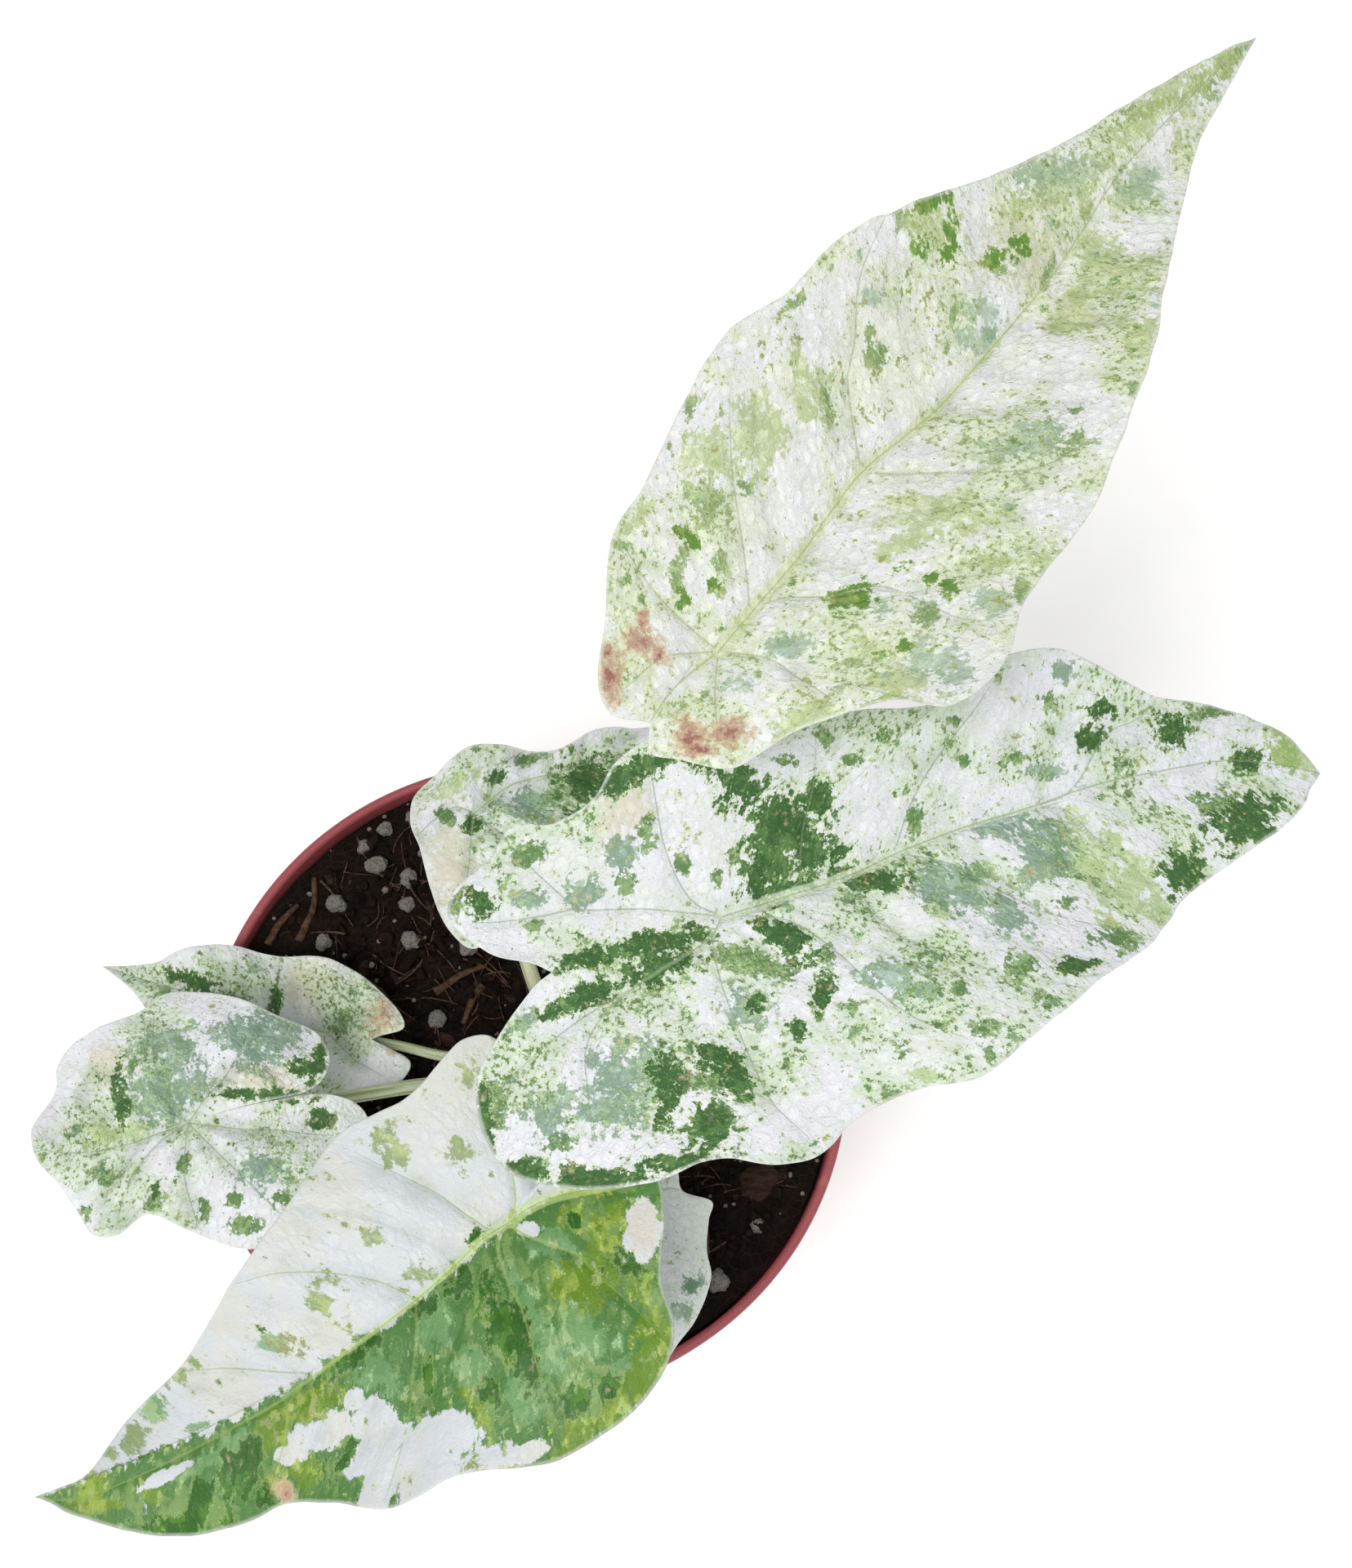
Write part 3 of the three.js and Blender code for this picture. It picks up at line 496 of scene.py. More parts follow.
# Every leaf is laid out from its hub in (along, across) millimetres, as in the part's source. Outlines, veins
# and most patches were read by eye as pixel places on the photo, and a scratch program turned them to these
# millimetres. The end of leaf 3's right side is up to 0.9 mm further out than in the source. veins are
# [half-width at start, at end, points]. dark, mid, sea and lime are patches of green, tint of beige,
# harm of bruises, window of white in the green and bare of white with no flecks: [along, across, reach]
# or, for a long one, [along, across, half-length, half-width, turn]
leaves = {
    1: {
        "hub": (28.4, 29.9, 226), "heading": 50, "length": 123.5, "fine": (400, 98), "skin": "cream",
        "left": [(106, 5.5), (93, 9.5), (77, 15), (62, 20.5), (52, 23.5), (43, 24), (33, 27), (21, 25),
                 (9, 21.5), (1, 20), (-8, 13.5), (-14.5, 9), (-16, 5.5)],
        "sinus": (-13, 1),
        "right": [(-16, -1.5), (-14, -5.5), (-11, -11.5), (-3, -15), (3, -19), (8.5, -23.5), (12, -29.5),
                  (21, -31.5), (31, -28), (47, -27), (57, -24), (70, -19.5), (79, -15), (93.5, -8.5),
                  (104, -4), (113, -2)],
        "rise": 0.2, "roll": 0.1, "droop": 14, "tuck": 2, "fold": 0.16, "bow": -1,
        "wave": 1.8, "waves": 5, "phase": 0.1, "rib": 0.7, "ribGap": 16, "domes": [],
        "foot": (70, 4), "footRadius": 2.2, "petioleRadius": 1.7,
        "petiole": [(14, 14, 130), (22, 28, 175), (26, 32.5, 205)],
        "speckle": 0.9, "minorGap": 8,
        "veins": [
            [1.0, 0.14, [(0, 0), (8.2, 0), (17, -0.1), (24.2, 0.5), (31.8, 0.9), (40.3, -0.5), (46.5, -1.3),
                          (63, -1.4), (71.2, -1.2), (80.6, -0.1), (88.9, 1.1), (98.4, 1.4), (107.4, 1.1),
                          (115.8, 0.8), (123.5, 0)]],
            [0.22, 0.08, [(31.6, 0.9), (37.2, 7.6), (40.2, 10.7), (44.1, 12.8), (51.1, 17.9), (61.1, 21.1)]],
            [0.22, 0.08, [(31.6, 0.9), (37, -5.9), (41.8, -12.4), (46.4, -17.4), (52.9, -20.4),
            (60.4, -22.3)]],
            [0.22, 0.08, [(6.5, 0), (8.9, 2.3), (12.9, 6.8), (18.7, 13.5), (23.9, 18.5), (27, 21.1)]],
            [0.24, 0.08, [(7.5, 0), (10.9, -2), (14.9, -7.2), (20.2, -11.3), (21.8, -16.2), (23.3, -22.8),
                          (26.8, -27.7)]],
            [0.3, 0.1, [(0, 0), (-0.5, 7.3), (-0.1, 12.6), (1.2, 17.9)]],
            [0.3, 0.1, [(0, 0), (-5.8, 4.9), (-12.4, 6.3)]],
            [0.4, 0.2, [(0, 0), (-8, 1.4), (-13.5, 1)]],
            [0.3, 0.1, [(0, 0), (-4.4, -3.1), (-8, -6.6), (-10, -11.5)]],
            [0.3, 0.1, [(0, 0), (3.3, -6.2), (3.5, -11.3), (3.7, -16.4)]],
        ],
        "dark": [
            [8.1, 13.7, 1, 0.7, -75], [8.3, 11.7, 1.2, 0.8, -85], [6.1, 6.5, 0.9], [1.8, 7.7, 1.5, 0.8, 40],
            [16.9, -10.1, 3, 1.8, -40], [24.6, -12.7, 1.3, 0.8, -30], [25.5, -15.9, 1.3, 1, -50],
            [25.6, -18.9, 1.2], [15.4, -19.1, 0.9], [67.1, 17.8, 3, 0.8, -20], [60.8, 14.9, 1.5],
            [66.5, 13.5, 2.8, 1.1, 45], [63.4, 11.5, 1.2], [68.7, 6.1, 1.7], [72.1, 5.7, 1.5], [71.8, 4, 0.9],
        ],
        "mid": [
            [22.9, 24.2, 1.5], [24.3, 20.2, 1.1, 0.4, 45], [16.3, 22.4, 1.5], [34.9, 10.1, 2.5, 0.8, 45],
            [14, 14.4, 3.4, 2.3, 45], [18.6, 11.2, 1.1], [8.5, 7.4, 1.8, 0.8, 45], [5.8, 4.5, 0.6],
            [4.2, 10.9, 2.4, 1, 35], [1, 18.4, 2.4, 0.6, -70], [0.2, -6.6, 1.3, 0.7, 35],
            [6, -6.1, 1.6, 0.7, -55], [20.8, -19.1, 2.3], [9.7, -16.2, 2.2, 0.9, -55],
            [31.7, -26.9, 2.4, 0.7, 40], [36.9, -27.5, 1.5, 0.6, -15], [6, -21.8, 3.4, 1.1, -35],
            [52.9, -14.6, 1.8, 0.9, 40], [52.9, -18.9, 2.6, 1.7, -30], [43.9, -12.4, 0.9], [43.7, -7.4, 0.8],
            [56.4, -16.5, 1.5, 0.6, -50], [62.2, 18.5, 1.7], [67.6, 4.7, 1.8, 1.4, -45],
            [85.2, 2.7, 1.1, 0.7, -45], [82.5, 1.1, 0.8], [119, 0.6, 4.7, 1.4, -5], [112, 0.6, 3.3, 2, -5],
            [101, 4.3, 5.7, 0.8, -20], [87.1, -10, 1.4, 0.7, 40], [71.9, -0.6, 2.4, 0.6, 20],
            [67.4, -8.7, 0.9], [63.7, -21, 1.7, 0.7, 40], [56.9, 5.2, 2.4, 0.4, 25],
            [53.4, 3.4, 1.1, 0.6, 45],
            [58.6, 0, 0.9], [45.3, 9.5, 1.4], [46.6, 12.1, 1.1, 0.7, 45], [42.6, 22.3, 1.6, 0.6, -25],
            [35.7, 11.2, 1.4, 0.7, 45], [34.1, 8.7, 0.7],
        ],
        "sea": [
            [-1.6, -5.3, 2.9, 1.6, -55], [6.5, -7.8, 3.3, 1.4, -55], [17.7, -13.6, 1.7], [16.8, -23.8, 3.1],
            [15.1, -27.8, 2.3], [27.4, -24.1, 2.4, 1.7, -50], [49.4, -14.3, 4.2, 2.9, -20],
            [84.2, 8.1, 5.2, 2.8, -45], [84.4, 11, 1.7, 0.6, -20], [92.1, -2.2, 4.1, 2.6, -50],
            [76.4, -15.6, 2.6, 0.6, 40], [61.3, 3, 2.7, 2, -45], [57.2, 0.8, 3.1, 2.2, -45],
            [50.4, 14.7, 1.2],
        ],
        "lime": [
            [18.2, 17.5, 5, 2.8, -45], [25.3, 14.7, 4.3], [4.8, 19.6, 2.5, 1, 0],
            [12.4, -16.6, 2.8, 2.1, -55],
            [11.8, -22.8, 4.4, 2.5, -50], [37.6, -25.9, 1.8, 1.3, -50], [32.1, -21, 3.2, 1.1, -50],
            [-0.5, -15.7, 4.4, 1.5, -35], [32.9, -11.1, 6.1, 2.7, -50], [27, -10, 3.7, 1.5, -30],
            [65, 15.5, 3.8], [85.1, 3.4, 1.6, 1.3, -75], [107, 2.6, 9, 2.4, -12], [113, 1.4, 7, 1.8, -5],
            [97, 3.5, 6, 2.4, -15], [102, -2.1, 1.6], [84, 6, 7, 3.4, -25], [77, -5, 6, 3, 20],
            [88.9, -2.4, 2.7, 1.3, -50], [67.6, -7.7, 2.6, 2, -50], [77.5, -9.6, 4.8, 3.6, -50],
            [70.9, -16.6, 4.5, 2.2, 40], [34.1, 13.8, 3.8, 2.2, 45],
        ],
        "tint": [[71.9, 4.6, 6.4], [69.1, -7.2, 3.9, 3, -50]],
        "bare": [[27, 10, 10, 5, 45], [43, 7, 11, 6, 40], [55, -3, 8, 4, -40], [15, 7, 5, 3, 45],
                 [33, -5, 7, 4, -50]],
        "harm": [
            [-6.3, 8, 2.4, 1.5, -65], [-6.1, 5.5, 1.3], [-12.9, 8.6, 3.7, 1.4, 40],
            [-10.8, 11, 1.2, 0.8, -50],
            [-11.3, -4.4, 1.9], [-7.2, -8.7, 2.4, 1.5, -55], [-11.8, -6.7, 1.8, 0.8, -55],
            [-4.5, 9.9, 1.6, 0.7, 40],
        ],
    },
    2: {
        "hub": (30.6, 1, 196), "heading": 16.7, "length": 99.3, "fine": (400, 98), "skin": "white",
        "left": [(95, 7.7), (85.5, 14), (74, 18), (70, 21), (61, 25.5), (54, 26), (48, 25), (40, 22),
                 (29, 24), (17, 24.5), (7, 25), (-3, 26), (-9.5, 24), (-13.5, 20.5), (-20, 19),
                 (-26, 20.5), (-30, 17), (-36, 14), (-38, 10.5), (-34, 3.5), (-28, 0)],
        "sinus": (-26, -1.7),
        "right": [(-28.5, -2.7), (-34, -6.5), (-40, -12.5), (-41.5, -19.5), (-39, -26.5), (-31.5, -31.5),
                  (-21.5, -34), (-11, -33.5), (-3, -36.5), (3.5, -36.5), (10, -33), (20, -31.5),
                  (28.5, -32.5), (38, -29), (52.5, -23), (62, -19.5), (70, -14), (84, -9), (91, -6.5)],
        "rise": 0, "roll": 0.16, "droop": 16, "tuck": 2, "fold": 0.12, "bow": 3.8,
        "wave": 2.2, "waves": 6, "phase": 0.3, "rib": 0.7, "ribGap": 17, "domes": [],
        "foot": (-10, 4), "footRadius": 2.3, "petioleRadius": 1.8,
        "petiole": [(15, 0, 122), (22, 1.5, 160), (28, 2, 186)],
        "speckle": 1.0, "minorGap": 9,
        "veins": [
            [0.95, 0.15, [(0, 0), (7, 0.2), (19.8, 0.9), (27.6, 2.3), (36.9, 3.5), (48.9, 4.2), (62, 5.4),
                          (72.9, 5.3), (84.1, 4.8), (92, 2.8), (99.3, 0)]],
            [0.22, 0.09, [(27.3, 2.3), (31.4, 8.1), (37.1, 13.7), (45.7, 19.9), (50.5, 23.7)]],
            [0.22, 0.09, [(27.3, 2.3), (34.5, -0.9), (41.5, -7), (47.3, -11.9), (60.6, -18)]],
            [0.2, 0.08, [(48.9, 4.2), (54.8, 3), (58.2, -2.3), (62.5, -7.4), (66.4, -14)]],
            [0.2, 0.08, [(48.9, 4.2), (56.6, 5.1), (66.1, 12.8), (72, 14.1), (76.3, 16.7)]],
            [0.2, 0.08, [(19.6, 0.9), (23.7, -9.4), (30.9, -14.2), (37.1, -20), (44, -25)]],
            [0.24, 0.08, [(0, 0), (8.6, -3), (14.5, -9.9), (17.8, -16), (21.8, -21.5), (28.8, -27.1)]],
            [0.24, 0.1, [(0, 0), (-3.8, 3.2), (-5.5, 10.4), (-5.1, 16.8), (-4.5, 23)]],
            [0.3, 0.1, [(0, 0), (-12.9, 4.5), (-19.9, 6.3), (-22, 9.1), (-24.8, 13.9), (-27, 18)]],
            [0.2, 0.08, [(-19.9, 6.3), (-28, 7.1), (-35.2, 8.4)]],
            [0.3, 0.1, [(0, 0), (-2.7, -2.6), (-15.2, -6.6), (-22.3, -10.5), (-24.5, -13.4), (-25.7, -19),
                        (-27, -26)]],
            [0.2, 0.08, [(-15.2, -6.6), (-26, -9.5), (-36, -14)]],
            [0.28, 0.09, [(0, 0), (-2.3, -2.8), (-3.1, -8.8), (-2.8, -15.4), (-2.1, -22.2), (-1.1, -28.1),
                          (2.2, -33.6)]],
            [0.2, 0.08, [(12, 0.5), (14.5, 8), (18.5, 15), (21, 22)]],
        ],
        "dark": [
            [7.2, 17.1, 3.9, 2.8, 15], [11.8, 10.2, 6, 3.6, -35], [9.3, 6.1, 5.4, 4, 75],
            [15, 5.9, 4.9, 4, -15], [6, 2.9, 2.6, 1.5, 75], [17.8, 12.4, 3.2, 2.6, -15],
            [19.7, 4.7, 1.7, 0.9, -15], [9.7, 1.6, 5, 1.1, -5], [23, -1.1, 4.2, 1.5, -10],
            [7.9, -5.6, 4.5, 2.2, -50], [-8.6, -1.5, 5.9, 1.6, -5], [-14.4, -0.8, 7.1, 1.4, 0],
            [-20.5, -0.9, 5.2, 1.2, 0], [-11.3, -4.9, 5.4, 2.1, 0], [-21.1, -5.5, 3, 1.4, -5],
            [-25.8, -6.7, 3, 1.4, 5], [-15.5, -22, 4.4, 2.3, 75], [-6.7, -20.3, 3, 2.4, -45],
            [-5.1, -25, 2.8], [-10.9, -29.3, 3.5], [-41.2, -20.2, 6.9, 1.1, 80],
            [-37.3, -26.8, 4.1, 1.3, -20],
            [-28.5, -31, 8, 1.4, -15], [-17.3, -32.6, 6.9, 1.4, -5], [-33.2, 10.9, 1.9],
            [-9.1, 22, 4, 1.6, 10],
            [-3.7, 22.7, 3.6, 1.6, 5], [3.6, 20.9, 3.1, 1.4, -5], [0.2, -13.9, 1.5],
            [5.3, -19.1, 1.7, 1.4, 45],
            [10.2, -15.3, 2.7, 1.6, 55], [63, 12.4, 3.1, 1.6, 5], [66.7, 16.5, 2.3, 1.5, -10],
            [76.6, 11.6, 2.7], [86.4, 3.9, 3.5, 1.5, -5], [83.3, -5.3, 6.5, 3.5, 10], [71, -10.6, 3.4],
            [48.5, -20.6, 3.1, 1.2, -5],
        ],
        "mid": [
            [-31, -25.2, 2.3, 1.4, -15], [-8.9, -23.3, 3.5, 1.6, -15], [-39.3, -16.1, 3.5, 2.1, 75],
            [-36.8, 11.8, 1.3], [-24.8, 16.2, 2.1, 1.5, -15], [-12.5, 7.8, 1.8, 1.4, 75],
            [-26.3, 5.4, 1.4, 1, -15], [-7.5, 13.7, 1.8, 1.4, 75], [-3.6, 8.4, 1.3, 0.9, 75],
            [0.8, 5.5, 1.2, 0.8, 75], [3.8, 7.7, 1.2], [57.7, 19.1, 1.6, 1.1, -10], [84.6, 13, 4.1, 0.9, 0],
            [94.5, 4.2, 2.6, 2.1, 80], [80.6, -2.1, 4.2, 2.7, -10], [32, 6.2, 2.6, 1.1, 75],
            [40.2, -19.3, 2.1], [41.7, -25.2, 2, 1.4, 75], [32.2, -26.5, 2.2, 1.4, -15], [29.8, -19.6, 1.4],
            [18.7, -25.2, 1.5], [30.9, -30.1, 1.3], [15.9, -31.4, 2, 0.9, -15], [51, -11, 1.8, 1.3, 75],
            [14.1, -17.9, 1.7, 1, -15], [12.6, -9.7, 1.7, 1.2, 75], [41.8, 13.1, 1],
            [40.9, 18.8, 1.5, 0.7, -10], [49.4, 11.6, 1.8, 1, -10], [24.6, 16.8, 1.7, 0.9, -15],
            [22, 21, 1.2], [15, 19, 1.5, 0.9, -15],
            [30.5, 19.2, 1], [2.5, -8.1, 5.2, 1.9, -35], [56.1, -18, 3.7, 2, -5],
        ],
        "sea": [
            [-11.7, 12.1, 2.3, 1.9, 75], [-18.6, 8.4, 2.1], [-21.3, -18.4, 4.3],
            [-16.6, -21, 5.6, 3.5, 75], [-24.4, -22.9, 5.3, 2.3, -15], [-31.6, -20.4, 3.5],
            [-31.9, -6.8, 2.5, 1.4, 5], [-26, 9.3, 2.3, 1.1, -15], [-0.5, -13.7, 3],
            [21.6, -15.1, 4.1, 1.9, -15], [23.7, -18.7, 2.4, 1.7, -15], [60.6, 22.6, 2.3, 1.4, -10],
            [44.5, 2.7, 4.7, 1.7, -5], [49.3, -1, 5, 2.9, -25], [49.5, -4, 4.4, 3.1, -15],
            [54.2, 9.1, 3.7, 1.2, -10], [34.1, -4.6, 5.2, 3.9, -45], [41, -10.8, 3.6],
        ],
        "lime": [
            [97, 4.8, 4.5], [31.5, -7.5, 2],
            [37.5, -4.1, 3, 2, -15], [21.7, -29.9, 2.4, 1.3, -15], [57.2, -5.4, 6.1, 4.7, -45],
            [61.3, -10.9, 5],
        ],
        "tint": [[-10.2, 18.2, 5, 4, 75]],
        "harm": [],
        "bare": [
            [-13, 7.5, 15, 6, -5], [1, 12, 7, 4, 80], [25, 9, 5, 3, 60], [28, -7, 5, 3], [5, -31, 7, 3, -10],
            [-29, 0, 7, 3], [48, 18, 7, 4], [20, -27, 5, 3], [-22, 14, 6, 4, -20],
        ],
    },
    3: {
        "hub": (-0.1, -37.8, 160), "heading": -151.2, "length": 83, "fine": (380, 90), "skin": "halfGreen",
        "left": [(77, 7), (66, 16), (55, 19.5), (49, 20), (42.5, 23.5), (35, 28.5), (23.5, 29.5),
                 (10.5, 34.5), (-4, 33.5), (-11, 30), (-14.5, 25.5), (-15.5, 19.5), (-20, 12),
                 (-22.5, 6.5), (-22, -1), (-16, -5.5)],
        "sinus": (-6.5, -4),
        "right": [(-8, -8.5), (-11.5, -18), (-10, -25.5), (-6, -27), (5, -24), (17.5, -24.5), (29, -18.5),
                  (41, -12.5), (53, -6.5), (65, -3.5), (75, 1), (79.5, 0.6)],
        "rise": -0.1, "roll": -0.06, "droop": 12, "tuck": 2, "fold": 0.12, "bow": 5,
        "wave": 2.4, "waves": 5, "phase": 0.2, "rib": 0.8, "ribGap": 15, "domes": [(-2, 20, 3, 12)],
        "foot": (-110, 4), "footRadius": 2.2, "petioleRadius": 1.6,
        "petiole": [(5, -10, 114), (2.5, -24, 140), (0.5, -35, 155)],
        "speckle": 0.12, "minorGap": 9,
        "veins": [
            [0.6, 0.14, [(0, 0), (4.7, 0.2), (10.9, 1.8), (18.2, 3.3), (27, 4.5), (36.3, 5.6), (43.7, 6.4),
                         (50.3, 6.3), (57.8, 6.1), (63.3, 5.7), (69.3, 5.1), (74.9, 4.2), (79.3, 2.6),
                         (83, 0)]],
            [1.0, 0.7, [(0, 0), (-2.1, -0.4), (-6.4, -0.2), (-11.1, 1.1), (-14.8, 2.4), (-18, 3.5)]],
            [0.22, 0.08, [(3.6, -0.5), (5.9, -4.7), (8.3, -9.5), (12.1, -14.7), (16.1, -20.5)]],
            [0.22, 0.08, [(18.2, 3.1), (21.5, -1.4), (26.1, -5.2), (31.4, -8.5), (36, -10.6), (41, -11.8)]],
            [0.3, 0.1, [(0, 0), (-1.8, -1.9), (-2.9, -4.5), (-6, -14), (-7, -22)]],
            [0.3, 0.08, [(0, 0), (-0.1, 1.5), (-3.2, 5.9), (-6.5, 9.9), (-7.6, 13.8), (-9.8, 19.8),
            (-12, 26)]],
            [0.22, 0.08, [(18.2, 3.3), (20.3, 7.8), (23.5, 12.8), (26.6, 17.9), (31, 23), (35, 27)]],
            [0.3, 0.08, [(0, 0), (2.9, 1.2), (4.6, 7.4), (4.7, 12.7), (6.2, 19.8), (7.8, 26.7), (9, 32)]],
            [0.2, 0.08, [(36.3, 5.6), (39.9, 8.1), (44.3, 11.5), (49, 16)]],
            [0.2, 0.08, [(36.3, 5.6), (42, 2), (48, -2), (54, -5)]],
        ],
        "dark": [
            [8.2, 12.9, 8.2, 2.7, -90], [10.3, 4.2, 2.2, 1.4, -85], [17.1, 4.9, 2, 1.4, -30], [13.1, 5, 1.6],
            [3.5, 28.6, 2.8, 1.7, -30], [-1.1, 29.1, 1.4], [21.7, 14.8, 1.9, 0.9, 60],
            [14.4, 22.2, 2.3, 1.5, 60], [-8.6, 4.9, 1.4, 1, -30], [-12.5, 14.9, 2.9, 2.4, -70],
            [5.8, -0.5, 0.8], [26.3, 5.8, 1.6, 0.9, 0],
            [31, 6.6, 2.8, 1.3, 10], [21.9, 15.1, 2.5, 0.9, 60], [50.7, 11, 2.4, 1.4, 60],
            [54.2, 13.1, 3.1, 2.6, 60], [60.4, 13.7, 2.5], [64.2, 14.7, 5.6, 1.8, -30],
            [50.4, 18.3, 2.5, 1.6, -30], [38.5, 19.7, 3.7, 2.4, -20], [35.7, 18.1, 1.5],
        ],
        "mid": [],
        "half": 0.35,
        "sea": [
            [4.3, 16.1, 9.3, 2.6, -90], [-1.8, 20.7, 5.7, 3.2, -60], [16, 16.1, 2.8, 2.3, -30],
            [-2.8, 5.7, 3.9, 2.1, -50], [40.5, -1.8, 1.5, 0.8, -30], [55.6, 3.5, 2.1, 0.6, -20],
            [60.9, -2.9, 2.5], [16.3, 7.7, 4.4, 2.5, 60], [28.6, 9.9, 3.7], [53.3, 8.9, 3.7, 2.1, 0],
            [57.9, 8.5, 3.7, 1.2, 0], [11, 24, 4, 2.6, -60],
        ],
        "lime": [
            [17, 21.1, 2.3], [17.2, 24.6, 1.9, 1.4, -30], [4.7, 32.4, 4.1, 2, -10], [-1, 32.1, 2.7, 1.8, 10],
            [-11, 8.5, 3.6, 2.4, 60], [-12.5, 17, 5, 2.6, 80], [-11, 25, 5, 3, 70],
            [-7, 31, 4, 2.6, 45], [-1, 33.5, 4, 2.2, 10], [5.5, 33.5, 4, 1.8, -10],
            [-8.7, 4.6, 2.2, 1.6, -30],
            [-12.1, 11.5, 3.1],
            [-3.4, 15.7, 5.1, 4.3, 60], [-2.4, 11.4, 2.8], [-8.7, 14.9, 3.8], [-13.8, 2.3, 3.8, 1.2, -20],
            [-15, 7.1, 2], [11.9, -18.3, 2.9, 1.5, 60], [19.6, -8, 1.3], [16.4, 0, 2.6, 2.1, -30],
            [-3.9, -22.6, 3.8, 2.2, 60], [2.1, -13, 2.3, 1.4, 60], [10.6, -16.6, 1.6],
            [29, -5.9, 2.7, 1.2, -30], [26.1, 0.4, 1.7], [31.6, -3.6, 2.1, 1.6, -30],
            [55.8, -5.4, 3.7, 1.6, -5], [60.6, -3.6, 3.3],
            [65.2, -1.2, 3.6, 2.5, 15], [74.3, 2.3, 3.2, 1.8, 60], [41.9, 8.9, 4.9, 2.2, 0],
            [45.6, 10.3, 3, 2, -30], [35.7, 10, 2.4], [66.5, 8.5, 2.9, 1.6, -10], [74.6, 6, 3.5, 0.8, -30],
            [49.2, 17.7, 2.5, 1.6, -30],
            [44, 17.5, 2.9, 2.3, -30],
        ],
        "window": [
            [-1.8, 2.6, 1.9, 1.2, -30], [30.8, 15.8, 2.8], [29.5, 20.7, 3.8, 3.2, -30],
            [21.5, 23.7, 4.3, 2.7, -60], [19, 29.2, 2.8, 1.3, -55], [33, 11.8, 1.8],
            [39.7, 13.6, 5.7, 2.4, -5], [45.1, 14.2, 2.9, 1.6, -30],
            [32.1, 16.1, 3.7, 2.4, -30], [31.2, 22.5, 4.3, 3.3, 60], [63.5, 7.4, 4.6, 0.9, -5],
            [-16.8, 11.5, 5, 3, 60], [36, 25.6, 4.2, 2.6, 35], [29, 27.5, 5.5, 3.4, 20],
            [21, 29.8, 5.5, 2.6, 5], [13.5, 31.6, 4, 1.4, -5], [26, 24, 5, 4, -30], [35, 20.5, 3.5, 2.2, -10],
        ],
        "tint": [[-16.4, 11.5, 4.6, 2.6, 60]],
        "harm": [[48.5, 18.4, 1.6]],
    },
    4: {
        "hub": (-55.8, -17.4, 131), "heading": -174.2, "length": 27.7, "fine": (240, 54), "skin": "white",
        "left": [(26.5, 3), (23, 7), (20, 12), (17.5, 16), (13, 17), (7, 14.5), (1, 17.5), (-9.5, 21.5),
                 (-17, 19), (-25, 11), (-30, 5), (-29, 0), (-25, -2.3)],
        "sinus": (-7, -1.2),
        "right": [(-21.5, -3.8), (-24, -8), (-22, -14), (-15, -17.5), (-5.5, -22), (4.5, -24), (8.5, -21),
                  (16.5, -18.5), (21.5, -16.5), (24, -13.5), (24, -10), (28, -3.5)],
        "rise": -0.1, "roll": 0, "droop": 7, "tuck": 1, "fold": -0.14, "bow": 1,
        "wave": 1.6, "waves": 7, "phase": 0.2, "rib": 1.3, "ribGap": 10,
        "domes": [(-9, -11, 4.5, 8), (6, -10, 2.5, 6), (-10, 9, 2.5, 8)],
        "foot": (-150, 8.6), "footRadius": 1.7, "petioleRadius": 1.2,
        "petiole": [(-8, -5, 106), (-17.5, -6.8, 112.5), (-30, -10.2, 118.5), (-44, -14, 123.5),
                    (-52, -16.3, 126)],
        "speckle": 0.9, "minorGap": 6, "veil": 0.8, "pucker": 2.2,
        "veins": [
            [0.4, 0.12, [(0, 0), (4.2, 1), (10.2, 2.2), (16.4, 2.7), (23.3, 1.7), (27.7, 0)]],
            [0.3, 0.1, [(0, 0), (0.5, 3.5), (0.8, 8.8), (-0.7, 17)]],
            [0.35, 0.1, [(0, 0), (-2.6, 3.1), (-7.2, 8.3), (-10.8, 12.3), (-15, 17)]],
            [0.35, 0.1, [(0, 0), (-3.4, 0.9), (-11.3, 2.6), (-15.9, 3), (-23, 4.2)]],
            [0.25, 0.1, [(0, 0), (2.1, -2.3), (4.2, -6.9), (5.6, -12.9), (6, -20)]],
            [0.25, 0.1, [(0, 0), (4.3, 2.3), (8.7, 6.5), (11.8, 11.5), (13, 15)]],
            [0.25, 0.1, [(0, 0), (-2.8, -3.1), (-8.4, -8.3), (-13, -15)]],
        ],
        # the long dark patches here follow the domes' edges: partly dark green, partly painted shade where a
        # dome overhangs
        "dark": [
            [-22.6, -9.4, 5.3, 1.4, 75], [-20.5, -7, 2.5, 2, -5], [-13, -2.9, 7, 1.1, -5],
            [11.6, -5.1, 6.3, 1.4, 90], [5.8, 10.9, 1.3, 0.8, 85], [-22.1, 1.2, 1.6],
        ],
        "mid": [
            [9.2, -10.5, 2.1, 1.2, 80], [6.4, 12.1, 1.6], [19, 12.3, 1.4], [-8.4, 17.8, 2.4, 1.6, -5],
            [25.7, 2.1, 1.8, 1.3, -10], [-2.1, 14.5, 2.1, 1.1, 85], [-7.6, 13.7, 1.9, 1.4, 85],
            [14.5, 7, 2.9, 1.1, -10], [-15, 14.4, 1.9, 1.3, -5], [1, 6.8, 1.9, 1.1, 85],
        ],
        "sea": [[3.4, -7.1, 6.2], [-12.6, -12.9, 6.3, 4.8, 15], [-12.6, 9.1, 3.6], [3, -14, 6, 3, 0]],
        "lime": [[12, 0, 6, 2, -5]], "tint": [[-13.3, -5.7, 6.8, 2.6, -5], [14, -12, 4]], "harm": [],
    },
    5: {
        "hub": (-35.8, 3.3, 110), "heading": 162.4, "length": 44.9, "fine": (240, 54), "skin": "white",
